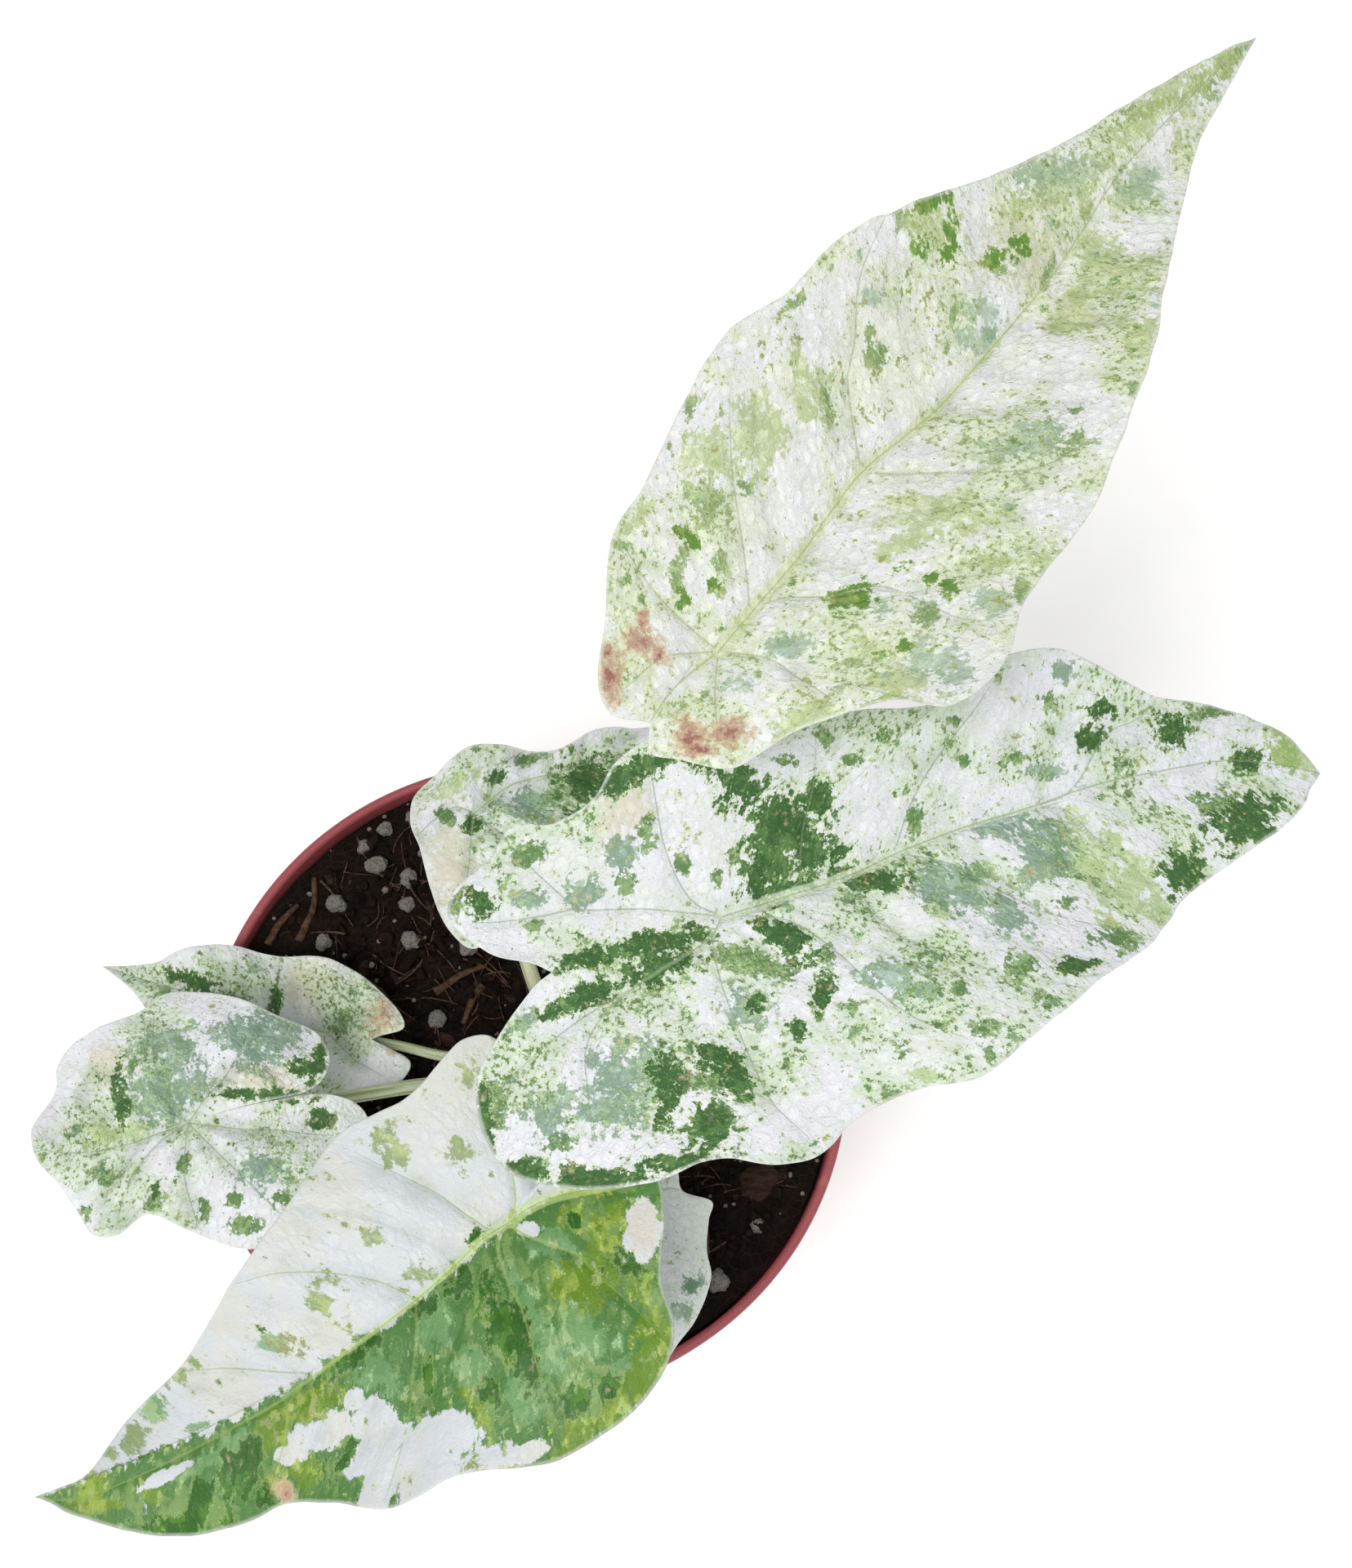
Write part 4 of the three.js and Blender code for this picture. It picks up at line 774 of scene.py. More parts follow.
        "left": [(37.5, 3), (32.5, 6), (25.5, 10.5), (14, 13.5), (3, 13.5), (-7, 9.5), (-14.5, 6), (-16, 0.5)],
        "sinus": (-8, -1.2),
        "right": [(-13, -5), (-5, -11), (4, -13), (13.5, -11), (23, -10.5), (32.5, -6), (35.5, -3.5)],
        "rise": -0.05, "roll": 0, "droop": 4, "tuck": 1, "fold": -0.1, "bow": 0,
        "wave": 1.4, "waves": 6, "phase": 0, "rib": 1.1, "ribGap": 9, "domes": [],
        "foot": (165, 8.6), "footRadius": 1.5, "petioleRadius": 0.9,
        "petiole": [(-7, 1.4, 101.5), (-14, 0.5, 103), (-23, 2, 105), (-32, 3, 107.5)],
        "speckle": 1.0, "minorGap": 5, "veil": 0.8, "pucker": 2.0, "dried": 0.7,
        "veins": [
            [0.4, 0.12, [(0, 0), (12, 0.6), (26, 0.3), (36, 0.4), (44.9, 0)]],
            [0.2, 0.1, [(12, 0.6), (12, -5), (13.5, -10.5)]],
            [0.25, 0.1, [(0, 0), (-6, 3), (-12, 4.5)]],
            [0.25, 0.1, [(0, 0), (-4, -5), (-8, -8)]],
        ],
        "dark": [[26.8, -1.7, 5.1, 2, -5], [11.5, -4.2, 3.8, 1, -75]],
        "mid": [[17.4, 0.2, 2.1, 1.6, 15], [31.4, 1.8, 1.5], [2.8, 5.2, 2.1, 1.2, 15],
                [-2.1, -2.6, 2.2, 1.2, -70], [18, 7, 2.4]],
        "sea": [[17.1, -7.6, 2.4, 1.6, 15], [24, 4, 4]], "lime": [], "tint": [[6, -8, 5]],
        "harm": [[-8.6, -6.4, 4.1, 2.7, -70], [-12, -0.6, 1.2]],
    },
    6: {
        "hub": (-9.9, 40.9, 124), "heading": 28.5, "length": 44, "fine": (240, 54), "skin": "white",
        "left": [(36.5, 2.5), (28.5, 4.5), (19.5, 4.5), (15.5, 6.5), (10.5, 9.5), (4, 11.5), (-3, 10),
                 (-8, 8), (-11, 3)],
        "sinus": (-11.5, -1.5),
        "right": [(-13, -8.5), (-13.5, -16), (-11.5, -21.5), (-6, -22), (5, -19), (16, -19), (27.5, -15),
                  (38, -7.5)],
        "rise": -0.02, "roll": 0.1, "droop": 6, "tuck": 1, "fold": -0.14, "bow": 0,
        "wave": 1.6, "waves": 6, "phase": 0.4, "rib": 1.3, "ribGap": 11, "domes": [(2, -10, 2.5, 8)],
        "foot": (110, 8.6), "footRadius": 1.8, "petioleRadius": 1.3,
        "petiole": [(3, 10, 102.5), (0.5, 16, 106.5), (-4, 28, 113), (-8.5, 37.5, 119)],
        "speckle": 1.1, "minorGap": 6, "veil": 0.9, "pucker": 2.4,
        "veins": [
            [0.5, 0.12, [(0, 0), (8.1, 1.8), (15.6, 0.8), (25.7, -0.5), (33.2, -1.4), (40.5, -0.6), (44, 0)]],
            [0.25, 0.1, [(3, 0.8), (9.4, 6.1), (14.6, 7.5)]],
            [0.25, 0.1, [(0, 0), (-2.6, 2.6), (-7.1, 1.9), (-11, 0.5)]],
            [0.25, 0.1, [(0, 0), (3, -7.1), (5, -12.9), (5.5, -18)]],
            [0.25, 0.1, [(0, 0), (-4.3, -6.9), (-8.3, -13), (-11, -19)]],
            [0.2, 0.1, [(15.4, 0.4), (19, -5.4), (22.7, -11.1), (24, -15)]],
        ],
        "dark": [[21.5, -3.7, 5.1], [7.2, 4.4, 1.8, 1.3, 5], [-1, -2, 2.4, 1.5, 65]],
        "mid": [[17.9, -4.1, 4.5, 3.1, -25], [-4.9, 1.7, 2.4, 1.2, -60], [12.7, 5.3, 3.1, 1.3, -5],
                [25.6, -9, 3.1, 2.4, 70], [-0.4, -13.6, 2.1, 1.5, -25], [9.7, -13.5, 2.4, 1.2, -25]],
        "sea": [[10.1, -3.1, 6.3, 3, -15]], "lime": [[0, 6, 4, 2, 0]], "tint": [[-8.3, -6.6, 8, 5, 65]],
        "harm": [],
    },
    7: {
        "hub": (21.5, -28.9, 126), "heading": -93.2, "length": 30.7, "fine": (240, 54), "skin": "white",
        "left": [(29, 3.5), (23, 7), (18.5, 10), (12, 12), (8, 11), (2.5, 11), (-0.5, 11.5), (-2, 6), (-5, 5),
                 (-6.5, 2)],
        "sinus": (-2.7, -0.2),
        "right": [(-5, -4), (-4, -7.5), (0.5, -10), (7.5, -11), (15, -11), (22, -8.5), (27.5, -5)],
        "rise": -0.18, "roll": 0, "droop": 6, "tuck": 1, "fold": -0.12, "bow": 0,
        "wave": 1.4, "waves": 5, "phase": 0, "rib": 1, "ribGap": 9, "domes": [],
        "foot": (-55, 8.6), "footRadius": 1.7, "petioleRadius": 1.2,
        "petiole": [(12.7, -9, 102.5), (16, -17, 111.5), (20, -25.5, 120.5)],
        "speckle": 0.15, "minorGap": 6, "veil": 0.5,
        "veins": [
            [0.45, 0.12, [(0, 0), (10.8, 1), (20, 0.7), (30.7, 0)]],
            [0.25, 0.1, [(0, 0), (-2, 4), (-1, 9)]],
            [0.25, 0.1, [(0, 0), (-1, -4), (1, -8.5)]],
        ],
        "dark": [], "mid": [[13.2, 9, 1]],
        "sea": [[12.9, 9, 1.7], [17.7, 7, 1.8, 1.2, -85], [8, -4, 3, 1.6, 20]], "lime": [], "tint": [],
        "harm": [],
    },
}


def bladeEdge(leaf, rays):
    tip = (leaf["length"], 0)
    spans = [[tip, *leaf["left"], leaf["sinus"]], [leaf["sinus"], *leaf["right"], tip]]
    return np.vstack([curveThrough(span, rays // 2 + 1)[0][:-1] for span in spans])


def fromMidrib(leaf, along, across):
    part = np.clip(along / leaf["length"], 0, 1)
    return across - leaf["bow"] * 4 * part * (1 - part)


def bladeHeight(leaf, along, across, outward, around):
    ahead = np.maximum(along / leaf["length"], 0)
    behind = np.maximum(-along / leaf["length"], 0)
    side = np.abs(fromMidrib(leaf, along, across))
    height = leaf["rise"] * along + leaf["roll"] * across
    height = height - leaf["droop"] * ahead ** 2 - 4 * leaf["tuck"] * behind ** 2
    height = height + leaf["fold"] * (np.hypot(side, 3) - 3)
    ripple = np.sin(2 * math.pi * (leaf["waves"] * around + leaf["phase"]))
    height = height + leaf["wave"] * outward ** 3 * ripple
    pucker = np.abs(np.sin(math.pi * (along - 0.7 * side) / leaf["ribGap"]))
    height = height + leaf["rib"] * pucker * np.minimum(side / 6, 1) * (1 - outward ** 4)
    for x, y, lift, radius in leaf["domes"]:
        height = height + lift * np.exp(-((along - x) ** 2 + (across - y) ** 2) / radius ** 2)
    return height


def toRoom(leaf, along, across, height):
    heading = math.radians(leaf["heading"])
    return np.stack([leaf["hub"][0] + along * math.cos(heading) - across * math.sin(heading),
                     leaf["hub"][1] + along * math.sin(heading) + across * math.cos(heading),
                     leaf["hub"][2] + height], axis=-1)


def toSegments(spots, route):
    # nearest point on a polyline: distance, side and share of the way
    best = np.full(len(spots), 1e3)
    side = np.zeros(len(spots))
    share = np.zeros(len(spots))
    for k in range(len(route) - 1):
        step = route[k + 1] - route[k]
        off = spots - route[k]
        t = np.clip(off @ step / (step @ step), 0, 1)
        off = off - t[:, None] * step
        dist = np.hypot(off[:, 0], off[:, 1])
        closer = dist < best
        best = np.where(closer, dist, best)
        side = np.where(closer, np.sign(step[0] * off[:, 1] - step[1] * off[:, 0]), side)
        share = np.where(closer, (k + t) / (len(route) - 1), share)
    return best, side, share


def insideEdge(edge, spot):
    x, y = spot
    a, b = edge, np.roll(edge, -1, axis=0)
    crossing = (a[:, 1] > y) != (b[:, 1] > y)
    climb = np.where(b[:, 1] == a[:, 1], 1e-9, b[:, 1] - a[:, 1])
    reach = a[:, 0] + (y - a[:, 1]) / climb * (b[:, 0] - a[:, 0])
    return np.count_nonzero(crossing & (x < reach)) % 2 == 1


def minorVeins(leaf, edge, seed):
    # thin side veins between the drawn ones, each curving forward to the margin
    dice = random.Random(seed)
    midrib = np.array(leaf["veins"][0][2], float)
    found = []
    for way in (1, -1):
        start = leaf["minorGap"] * (0.6 if way > 0 else 1.05)
        while start < leaf["length"] * 0.9:
            spot = np.array([start, np.interp(start, midrib[:, 0], midrib[:, 1])])
            steep = math.radians(dice.uniform(*blade["minorSteep"]))
            route = [spot.copy()]
            while len(route) < 40:
                spot = spot + blade["minorStep"] * np.array([math.cos(steep), way * math.sin(steep)])
                steep -= math.radians(blade["minorCurl"])
                if not insideEdge(edge * 0.985, spot):
                    break
                route.append(spot.copy())
            if len(route) > 3:
                found.append([*blade["minorWidth"], route])
            start += leaf["minorGap"] * dice.uniform(0.8, 1.2)
    return found


def patchField(spots, patches):
    # 1 at a patch's middle, 0.5 at its rim
    field = np.zeros(len(spots))
    for patch in patches:
        x, y, reach = patch[:3]
        short = patch[3] if len(patch) > 3 else reach
        turned = math.radians(patch[4]) if len(patch) > 4 else 0.0
        dx, dy = spots[:, 0] - x, spots[:, 1] - y
        u = (dx * math.cos(turned) + dy * math.sin(turned)) / reach
        v = (dy * math.cos(turned) - dx * math.sin(turned)) / short
        field = np.maximum(field, 1 - 0.5 * np.hypot(u, v))
    return np.clip(field, 0, 1)


def noiseField(spots, size, seed):
    return np.array([noise.noise(Vector((x / size, y / size, seed))) for x, y in spots])


blade = {
    "thickness": 0.42, "keel": 1.75, "keelWidth": 1.6, "ridge": 0.32,
    "groove": 0.2, "quilt": 0.4, "quiltReach": 2.6, "crinkle": 0.3, "crinkleSize": 4.2, "round": 0.12,
    "lean": 0.38, "fray": 0.006, "fraySize": 4.0, "edgeReach": 0.8, "edgeThickness": 0.25, "hollowShadeDepth": 0.8,
    "minorSteep": (52, 64), "minorCurl": 1.6, "minorStep": 1.6, "minorWidth": (0.04, 0.02),
}


def bladePiece(number, leaf, skin):
    rays, rings = leaf["fine"]
    edge = bladeEdge(leaf, rays)
    frayed = noiseField(edge, blade["fraySize"], number * 7.0)
    edge = edge * (1 + blade["fray"] * frayed)[:, None]
    outward = np.concatenate([[0], np.repeat((np.arange(1, rings + 1) / rings) ** 0.88, rays)])
    around = np.concatenate([[0], np.tile(np.arange(rays) / rays, rings)])
    straight = np.stack([edge[:, 0], fromMidrib(leaf, edge[:, 0], edge[:, 1])], axis=1)
    spots = np.vstack([[0, 0], (outward[1:].reshape(rings, rays)[:, :, None] * straight[None]).reshape(-1, 2)])
    spots[:, 1] += spots[:, 1] - fromMidrib(leaf, spots[:, 0], spots[:, 1])
    along, across = spots[:, 0], spots[:, 1]
    near, side, width = np.full(len(spots), 1e3), np.zeros(len(spots)), np.zeros(len(spots))
    for wide, thin, route in leaf["veins"] + minorVeins(leaf, edge, number):
        path = curveThrough(route, max(6, int(len(route) * 3)))[0]
        dist, way, share = toSegments(spots, path)
        half = thin + (wide - thin) * (1 - share) ** (2.2 if wide > 0.35 else 1)
        closer = dist - half < near - width
        near = np.where(closer, dist, near)
        side = np.where(closer, dist * way, side)
        width = np.where(closer, half, width)
    toEdge = toSegments(spots, np.vstack([edge[::2], edge[:1]]))[0]
    crinkle = noiseField(spots, blade["crinkleSize"], number * 3.0) * leaf.get("veil", 0.4) / 0.4
    inner = 1 - outward ** 4
    height = bladeHeight(leaf, along, across, outward, around)
    quilt = leaf.get("pucker", 1) * (1 - np.exp(-(near / blade["quiltReach"]) ** 2) - 0.5) * inner
    relief = blade["crinkle"] * crinkle + blade["quilt"] * quilt
    height += relief
    height -= (blade["groove"] + 0.5 * width) * np.exp(-(near / (0.35 + width)) ** 2)
    run = np.where(along > 0, 1 - along / leaf["length"], np.exp(-(along / 3) ** 2))
    keel = blade["keel"] * run * np.exp(-(fromMidrib(leaf, along, across) / blade["keelWidth"]) ** 2)
    thick = blade["thickness"] + keel + blade["ridge"] * np.exp(-(near / (0.3 + width)) ** 2) * (width > 0.09)
    thinned = np.minimum(thick, blade["edgeThickness"] + 0.5 * toEdge)
    thick = np.where(toEdge < blade["edgeReach"], thinned, thick)
    top = toRoom(leaf, along, across, height)
    below = toRoom(leaf, along, across, height - thick)
    rimSpots = edge * (1 + blade["round"] / np.maximum(np.hypot(edge[:, 0], edge[:, 1]), 3))[:, None]
    last = slice(len(spots) - rays, len(spots))
    rim = toRoom(leaf, rimSpots[:, 0], rimSpots[:, 1], height[last] - 0.5 * thick[last])
    points = np.vstack([top, below, rim])
    count = len(spots)
    at = lambda ring, ray: 1 + (ring - 1) * rays + ray % rays
    faces = []
    for ray in range(rays):
        faces.append((0, at(1, ray), at(1, ray + 1)))
        faces.append((count, count + at(1, ray + 1), count + at(1, ray)))
        for ring in range(1, rings):
            quad = (at(ring, ray), at(ring + 1, ray), at(ring + 1, ray + 1), at(ring, ray + 1))
            faces.append(quad)
            faces.append(tuple(count + i for i in quad[::-1]))
        a, b = at(rings, ray), at(rings, ray + 1)
        c, d = 2 * count + ray, 2 * count + (ray + 1) % rays
        faces.append((a, c, d, b))
        faces.append((c, count + a, count + b, d))
    window = np.clip(patchField(spots, leaf.get("window", [])) * 2.4 - 0.7, 0, 1)
    dark = patchField(spots, leaf["dark"]) * (1 - 0.6 * window)
    mid = patchField(spots, leaf["mid"])
    if "half" in leaf:
        pale = np.where(fromMidrib(leaf, along, across) < 0, 0.72, 1)
        greenHalf = np.clip(0.5 + leaf["half"] * fromMidrib(leaf, along, across), 0, 1.05)
        mid = np.maximum(mid, greenHalf) * (1 - window)
    sea = patchField(spots, leaf["sea"]) * (1 - window)
    lime = patchField(spots, leaf["lime"]) * (1 - 0.7 * window) * (pale if "half" in leaf else 1)
    tint = patchField(spots, leaf["tint"])
    harm = patchField(spots, leaf["harm"]) * leaf.get("dried", 1)
    fromRib = fromMidrib(leaf, along, across)
    lean = blade["lean"] * np.clip((along + 30) / 60, 0, 1)

    def stacked(*columns):
        table = np.stack(columns, axis=1)
        return np.vstack([table, table, table[last]])

    bare = np.clip(patchField(spots, leaf.get("bare", [])) * 4 - 1.6, 0, 1)
    margin = stacked(toEdge, np.zeros(count), leaf["speckle"] * (1 - bare))
    margin[count:2 * count, 1] = 1
    # painted shade: rises where the relief sinks between the puckers and beside the veins
    paintedHollowShade = np.clip(0.5 - blade["hollowShadeDepth"] * relief, 0, 1)
    fields = {
        "flow": stacked(along - lean * np.abs(fromRib), fromRib, np.full(count, number * 37.0)),
        "greens": stacked(dark, mid, sea),
        "washes": stacked(lime, tint, harm),
        "veins": stacked(side, near, width),
        "margin": margin,
        "paintedHollowShade": np.concatenate([paintedHollowShade, paintedHollowShade, paintedHollowShade[last]]),
    }
    return meshPiece(f"leaf_blade_{number}", points, faces, skin, fields=fields)


looks = {
    "cream": {
        "name": "creamMarbledLeafSkin",
        "white": "#E2E5E5", "warm": "#DFE3D6", "veil": "#CFDABB", "veilShare": 0.75,
        "lime": ("#C9D5A2", "#AABD7A"), "sea": ("#B2C6B0", "#93AE96"), "mid": ("#A4B985", "#7E9A5E"),
        "dark": ("#86A451", "#638B3A"), "halo": "#CBD8A8", "fleck": "#7C9650", "point": "#7F8C78",
        "vein": "#CFDAA4", "veinToneAndShade": "#9AA578", "tint": "#C3C5A6", "torn": 1.5, "soft": 0.05, "stretch": 0.85,
        "gloss": 0.42, "tatter": 0.33, "cells": 0.42, "blotScale": 0.4, "fleckScale": 1.5, "ring": 0.7,
        "hollowShade": 0.5, "wrinkle": 0.7,
    },
    "white": {
        "name": "whiteSpeckledLeafSkin",
        "white": "#E2E4EA", "warm": "#DDE2DD", "veil": "#C6D8BD", "veilShare": 0.65,
        "lime": ("#C6D8A0", "#A3BD72"), "sea": ("#91B397", "#628A69"), "mid": ("#86A468", "#577F3E"),
        "dark": ("#527A3F", "#38622D", "#86AA60"), "halo": "#C3D7A4", "fleck": "#55763A", "point": "#6A7A62",
        "vein": "#CFDDC0", "veinToneAndShade": "#7F9570", "tint": "#D2CDBA", "torn": 1.25, "soft": 0.03, "stretch": 0.9,
        "gloss": 0.38, "tatter": 0.33, "cells": 0.42, "blotScale": 0.36, "fleckScale": 1.3, "ring": 0.7,
        "hollowShade": 0.45, "wrinkle": 0.6,
    },
    "halfGreen": {
        "name": "halfGreenLeafSkin",
        "white": "#C9CED3", "warm": "#CBCDC8", "veil": "#D2DABF", "veilShare": 0.55,
        "lime": ("#98AD42", "#6A8812", "#B4C570"), "sea": ("#8FB080", "#6C9862", "#A9C69A"),
        "mid": ("#6E9044", "#407424", "#9AB770"), "dark": ("#47781F", "#2B5E10"), "halo": "#A9C07C",
        "fleck": "#A9BE6A", "point": "#A5AC8C", "vein": "#C2D68C", "veinToneAndShade": "#82A048", "tint": "#CFC7BD",
        "torn": 1.35, "soft": 0.09,
        "stretch": 0.62, "gloss": 0.4, "tatter": 0.2, "cells": 0.24, "blotScale": 0.2, "fleckScale": 0.6,
        "ring": 0.35, "hollowShade": 0.4, "wrinkle": 0.32,
    },
}

leafWearAndShade = {
    "harm": (("#C6B28C", 0.2, 0.5), ("#B08E7C", 0.5, 0.66), ("#925650", 0.8, 0.95)),  # dried, bruised, rotted
    # the first tone is multiplied into the hollows as painted shade
    "paintedHollowShade": "#C3CDBF", "underside": "#BCC7B0",
}


def bladeSkin(look):
    # Living leaf, waxy cuticle: soft satin sheen, marbling with torn edges, speckles, thin sunken veins
    skin, tree = newSkin(look["name"], look["white"])
    flow, greens, washes, veins, margin = (
        addNode(tree, "ShaderNodeAttribute", attribute_name=name).outputs["Vector"]
        for name in ("flow", "greens", "washes", "veins", "margin"))
    greens, washes, veins, margin = (addNode(tree, "ShaderNodeSeparateXYZ", {0: field}).outputs
                                     for field in (greens, washes, veins, margin))
    drawn = addNode(tree, "ShaderNodeMapping",
                    {"Vector": flow, "Scale": (1.0, look["stretch"], 1.0)}).outputs[0]
    tatter = addNode(tree, "ShaderNodeTexNoise", {"Vector": drawn, "Scale": look["tatter"], "Detail": 7.0,
                                                "Roughness": 0.7})
    veil = addNode(tree, "ShaderNodeTexNoise", {"Vector": drawn, "Scale": 0.085, "Detail": 5.0,
                                                "Roughness": 0.62})
    fine = addNode(tree, "ShaderNodeTexNoise", {"Vector": flow, "Scale": 2.2, "Detail": 3.0, "Roughness": 0.65})
    nudge = addNode(tree, "ShaderNodeVectorMath", {0: fine.outputs["Color"], "Scale": 0.9}, operation="SCALE")
    bent = addNode(tree, "ShaderNodeVectorMath", {0: drawn, 1: nudge.outputs[0]}, operation="ADD").outputs[0]
    picks = []
    for scale in (look["cells"], 3 * look["cells"]):
        cells = addNode(tree, "ShaderNodeTexVoronoi", {"Vector": bent, "Scale": scale})
        picks.append(addNode(tree, "ShaderNodeSeparateColor", {"Color": cells.outputs["Color"]}).outputs)
    big, small = picks
    grit = addNode(tree, "ShaderNodeTexNoise", {"Vector": bent, "Scale": look["fleckScale"], "Detail": 5.0,
                                                "Roughness": 0.66}).outputs["Fac"]
    blot = addNode(tree, "ShaderNodeTexNoise", {"Vector": bent, "Scale": look["blotScale"], "Detail": 5.0,
                                                "Roughness": 0.66}).outputs["Fac"]
    ragged = -1.5  # takes the mean of the four to nought
    for value, weight in ((tatter.outputs["Fac"], 1.2), (grit, 1.3), (big["Red"], 0.3), (small["Red"], 0.2)):
        ragged = addNode(tree, "ShaderNodeMath", {0: value, 1: weight, 2: ragged},
                         operation="MULTIPLY_ADD").outputs[0]

    def coat(under, over, value, low, high, most=1.0):
        return layer(tree, under, over, value, low, high, most, "SMOOTHSTEP")

    def patches(under, field, tones, level, most):
        # torn patches of one green, its two tones mixed cell by cell
        edge = addNode(tree, "ShaderNodeMath", {0: ragged, 1: look["torn"], 2: field}, operation="MULTIPLY_ADD")
        mottle = addNode(tree, "ShaderNodeMath", {0: big["Green"], 1: 0.35, 2: tatter.outputs["Fac"]},
                         operation="MULTIPLY_ADD")
        mottle = addNode(tree, "ShaderNodeMath", {0: small["Green"], 1: 0.3, 2: mottle.outputs[0]},
                         operation="MULTIPLY_ADD")
        tone = coat(*tones[:2], mottle.outputs[0], 0.62, 0.8)
        if len(tones) > 2:
            tone = coat(tone, tones[2], grit, 0.58, 0.64, 0.8)
        return coat(under, tone, edge.outputs[0], level - look["soft"], level + look["soft"], most)

    colour = coat(look["white"], look["warm"], veil.outputs["Fac"], 0.42, 0.58)
    crowd = addNode(tree, "ShaderNodeMapRange", {"Value": veil.outputs["Fac"], "From Min": 0.43,
                                                 "From Max": 0.57})
    crowd = addNode(tree, "ShaderNodeMath", {0: crowd.outputs["Result"], 1: margin["Z"]}, operation="MULTIPLY")
    crowd = crowd.outputs[0]
    misty = addNode(tree, "ShaderNodeMath", {0: crowd, 1: 0.3, 2: tatter.outputs["Fac"]},
                    operation="MULTIPLY_ADD")
    colour = coat(colour, look["veil"], misty.outputs[0], 0.56, 0.82, look["veilShare"])
    tinted = addNode(tree, "ShaderNodeMath", {0: washes["Y"], 1: ragged}, operation="ADD").outputs[0]
    colour = coat(colour, look["tint"], tinted, 0.3, 0.7, 0.8)
    colour = patches(colour, greens["Y"], look["mid"], 0.48, 0.96)
    colour = patches(colour, washes["X"], look["lime"], 0.46, 0.75)
    colour = patches(colour, greens["Z"], look["sea"], 0.48, 0.8)
    # torn flecks and blots, each with a pale ring, thick in crowds
    scatters = [(blot, 0.11, 0.7, look["sea"][1], look["dark"][1]),
                (grit, 0.13, 0.68, look["fleck"], look["mid"][1])]
    for spread, crowding, level, one, other in scatters:
        busy = addNode(tree, "ShaderNodeMath", {0: crowd, 1: crowding, 2: spread},
                       operation="MULTIPLY_ADD").outputs[0]
        colour = coat(colour, look["halo"], busy, level - 0.055, level - 0.015, look["ring"])
        tone = coat(one, other, big["Blue"], 0.45, 0.6)
        colour = coat(colour, tone, busy, level - 0.2 * look["soft"], level + 0.2 * look["soft"], 0.9)
    # pinpoints
    dots = addNode(tree, "ShaderNodeTexVoronoi", {"Vector": bent, "Scale": 1.75})
    pick = addNode(tree, "ShaderNodeSeparateColor", {"Color": dots.outputs["Color"]}).outputs
    keep = addNode(tree, "ShaderNodeMath", {0: margin["Z"], 1: 0.17, 2: 0.035}, operation="MULTIPLY_ADD")
    kept = addNode(tree, "ShaderNodeMath", {0: pick["Red"], 1: keep.outputs[0]}, operation="LESS_THAN")
    size = addNode(tree, "ShaderNodeMath", {0: pick["Blue"], 1: 0.16, 2: 1.08}, operation="MULTIPLY_ADD")
    gap = addNode(tree, "ShaderNodeMath", {0: size.outputs[0], 1: dots.outputs["Distance"]},
                  operation="SUBTRACT")
    shown = addNode(tree, "ShaderNodeMath", {0: gap.outputs[0], 1: kept.outputs[0]}, operation="MULTIPLY")
    colour = coat(colour, look["point"], shown.outputs[0], 0.95, 1.0, 0.85)
    around = addNode(tree, "ShaderNodeMath", {0: ragged, 1: look["torn"], 2: greens["X"]},
                     operation="MULTIPLY_ADD")
    colour = coat(colour, look["halo"], around.outputs[0], 0.3, 0.44, look["ring"])
    colour = patches(colour, greens["X"], look["dark"], 0.48, 1.0)
    # veins: a pale streaky band on the thick ones, and a thin darker line, partly the vein's own tone and
    # partly painted shade in its sunken groove
    inBand = addNode(tree, "ShaderNodeMath", {0: veins["Z"], 1: veins["Y"]}, operation="SUBTRACT").outputs[0]
    streak = addNode(tree, "ShaderNodeMath", {0: fine.outputs["Fac"], 1: 0.5, 2: inBand},
                     operation="MULTIPLY_ADD")
    thick = addNode(tree, "ShaderNodeMapRange", {"Value": veins["Z"], "From Min": 0.12, "From Max": 0.45})
    band = addNode(tree, "ShaderNodeMath", {0: streak.outputs[0], 1: thick.outputs["Result"]},
                   operation="MULTIPLY")
    colour = coat(colour, look["vein"], band.outputs[0], 0.0, 0.3, 0.62)
    across = addNode(tree, "ShaderNodeMath", {0: veins["X"]}, operation="ABSOLUTE").outputs[0]
    wide = addNode(tree, "ShaderNodeMath", {0: veins["Z"], 1: 1.6}, operation="MULTIPLY").outputs[0]
    line = addNode(tree, "ShaderNodeMath", {0: wide, 1: across}, operation="SUBTRACT").outputs[0]
    line = addNode(tree, "ShaderNodeMath", {0: line, 1: 0.14}, operation="MINIMUM").outputs[0]
    for value, most in ((veins["Y"], 0.8), (across, 0.13)):
        beside = addNode(tree, "ShaderNodeMath", {0: value, 1: most}, operation="LESS_THAN").outputs[0]
        line = addNode(tree, "ShaderNodeMath", {0: line, 1: beside}, operation="MULTIPLY").outputs[0]
    colour = coat(colour, look["veinToneAndShade"], line, 0.02, 0.14, 0.5)
    # hollows between the puckers and beside the veins get painted shade: a darker tone multiplied in
    hollowShade = addNode(tree, "ShaderNodeAttribute", attribute_name="paintedHollowShade").outputs["Fac"]
    hollowShade = addNode(tree, "ShaderNodeMath", {0: fine.outputs["Fac"], 1: 0.35, 2: hollowShade}, operation="MULTIPLY_ADD")
    shaded = addNode(tree, "ShaderNodeMix", {0: 1.0, 6: colour, 7: leafWearAndShade["paintedHollowShade"]}, data_type="RGBA",
                     blend_type="MULTIPLY").outputs[2]
    colour = coat(colour, shaded, hollowShade.outputs[0], 0.62, 1.1, look["hollowShade"])
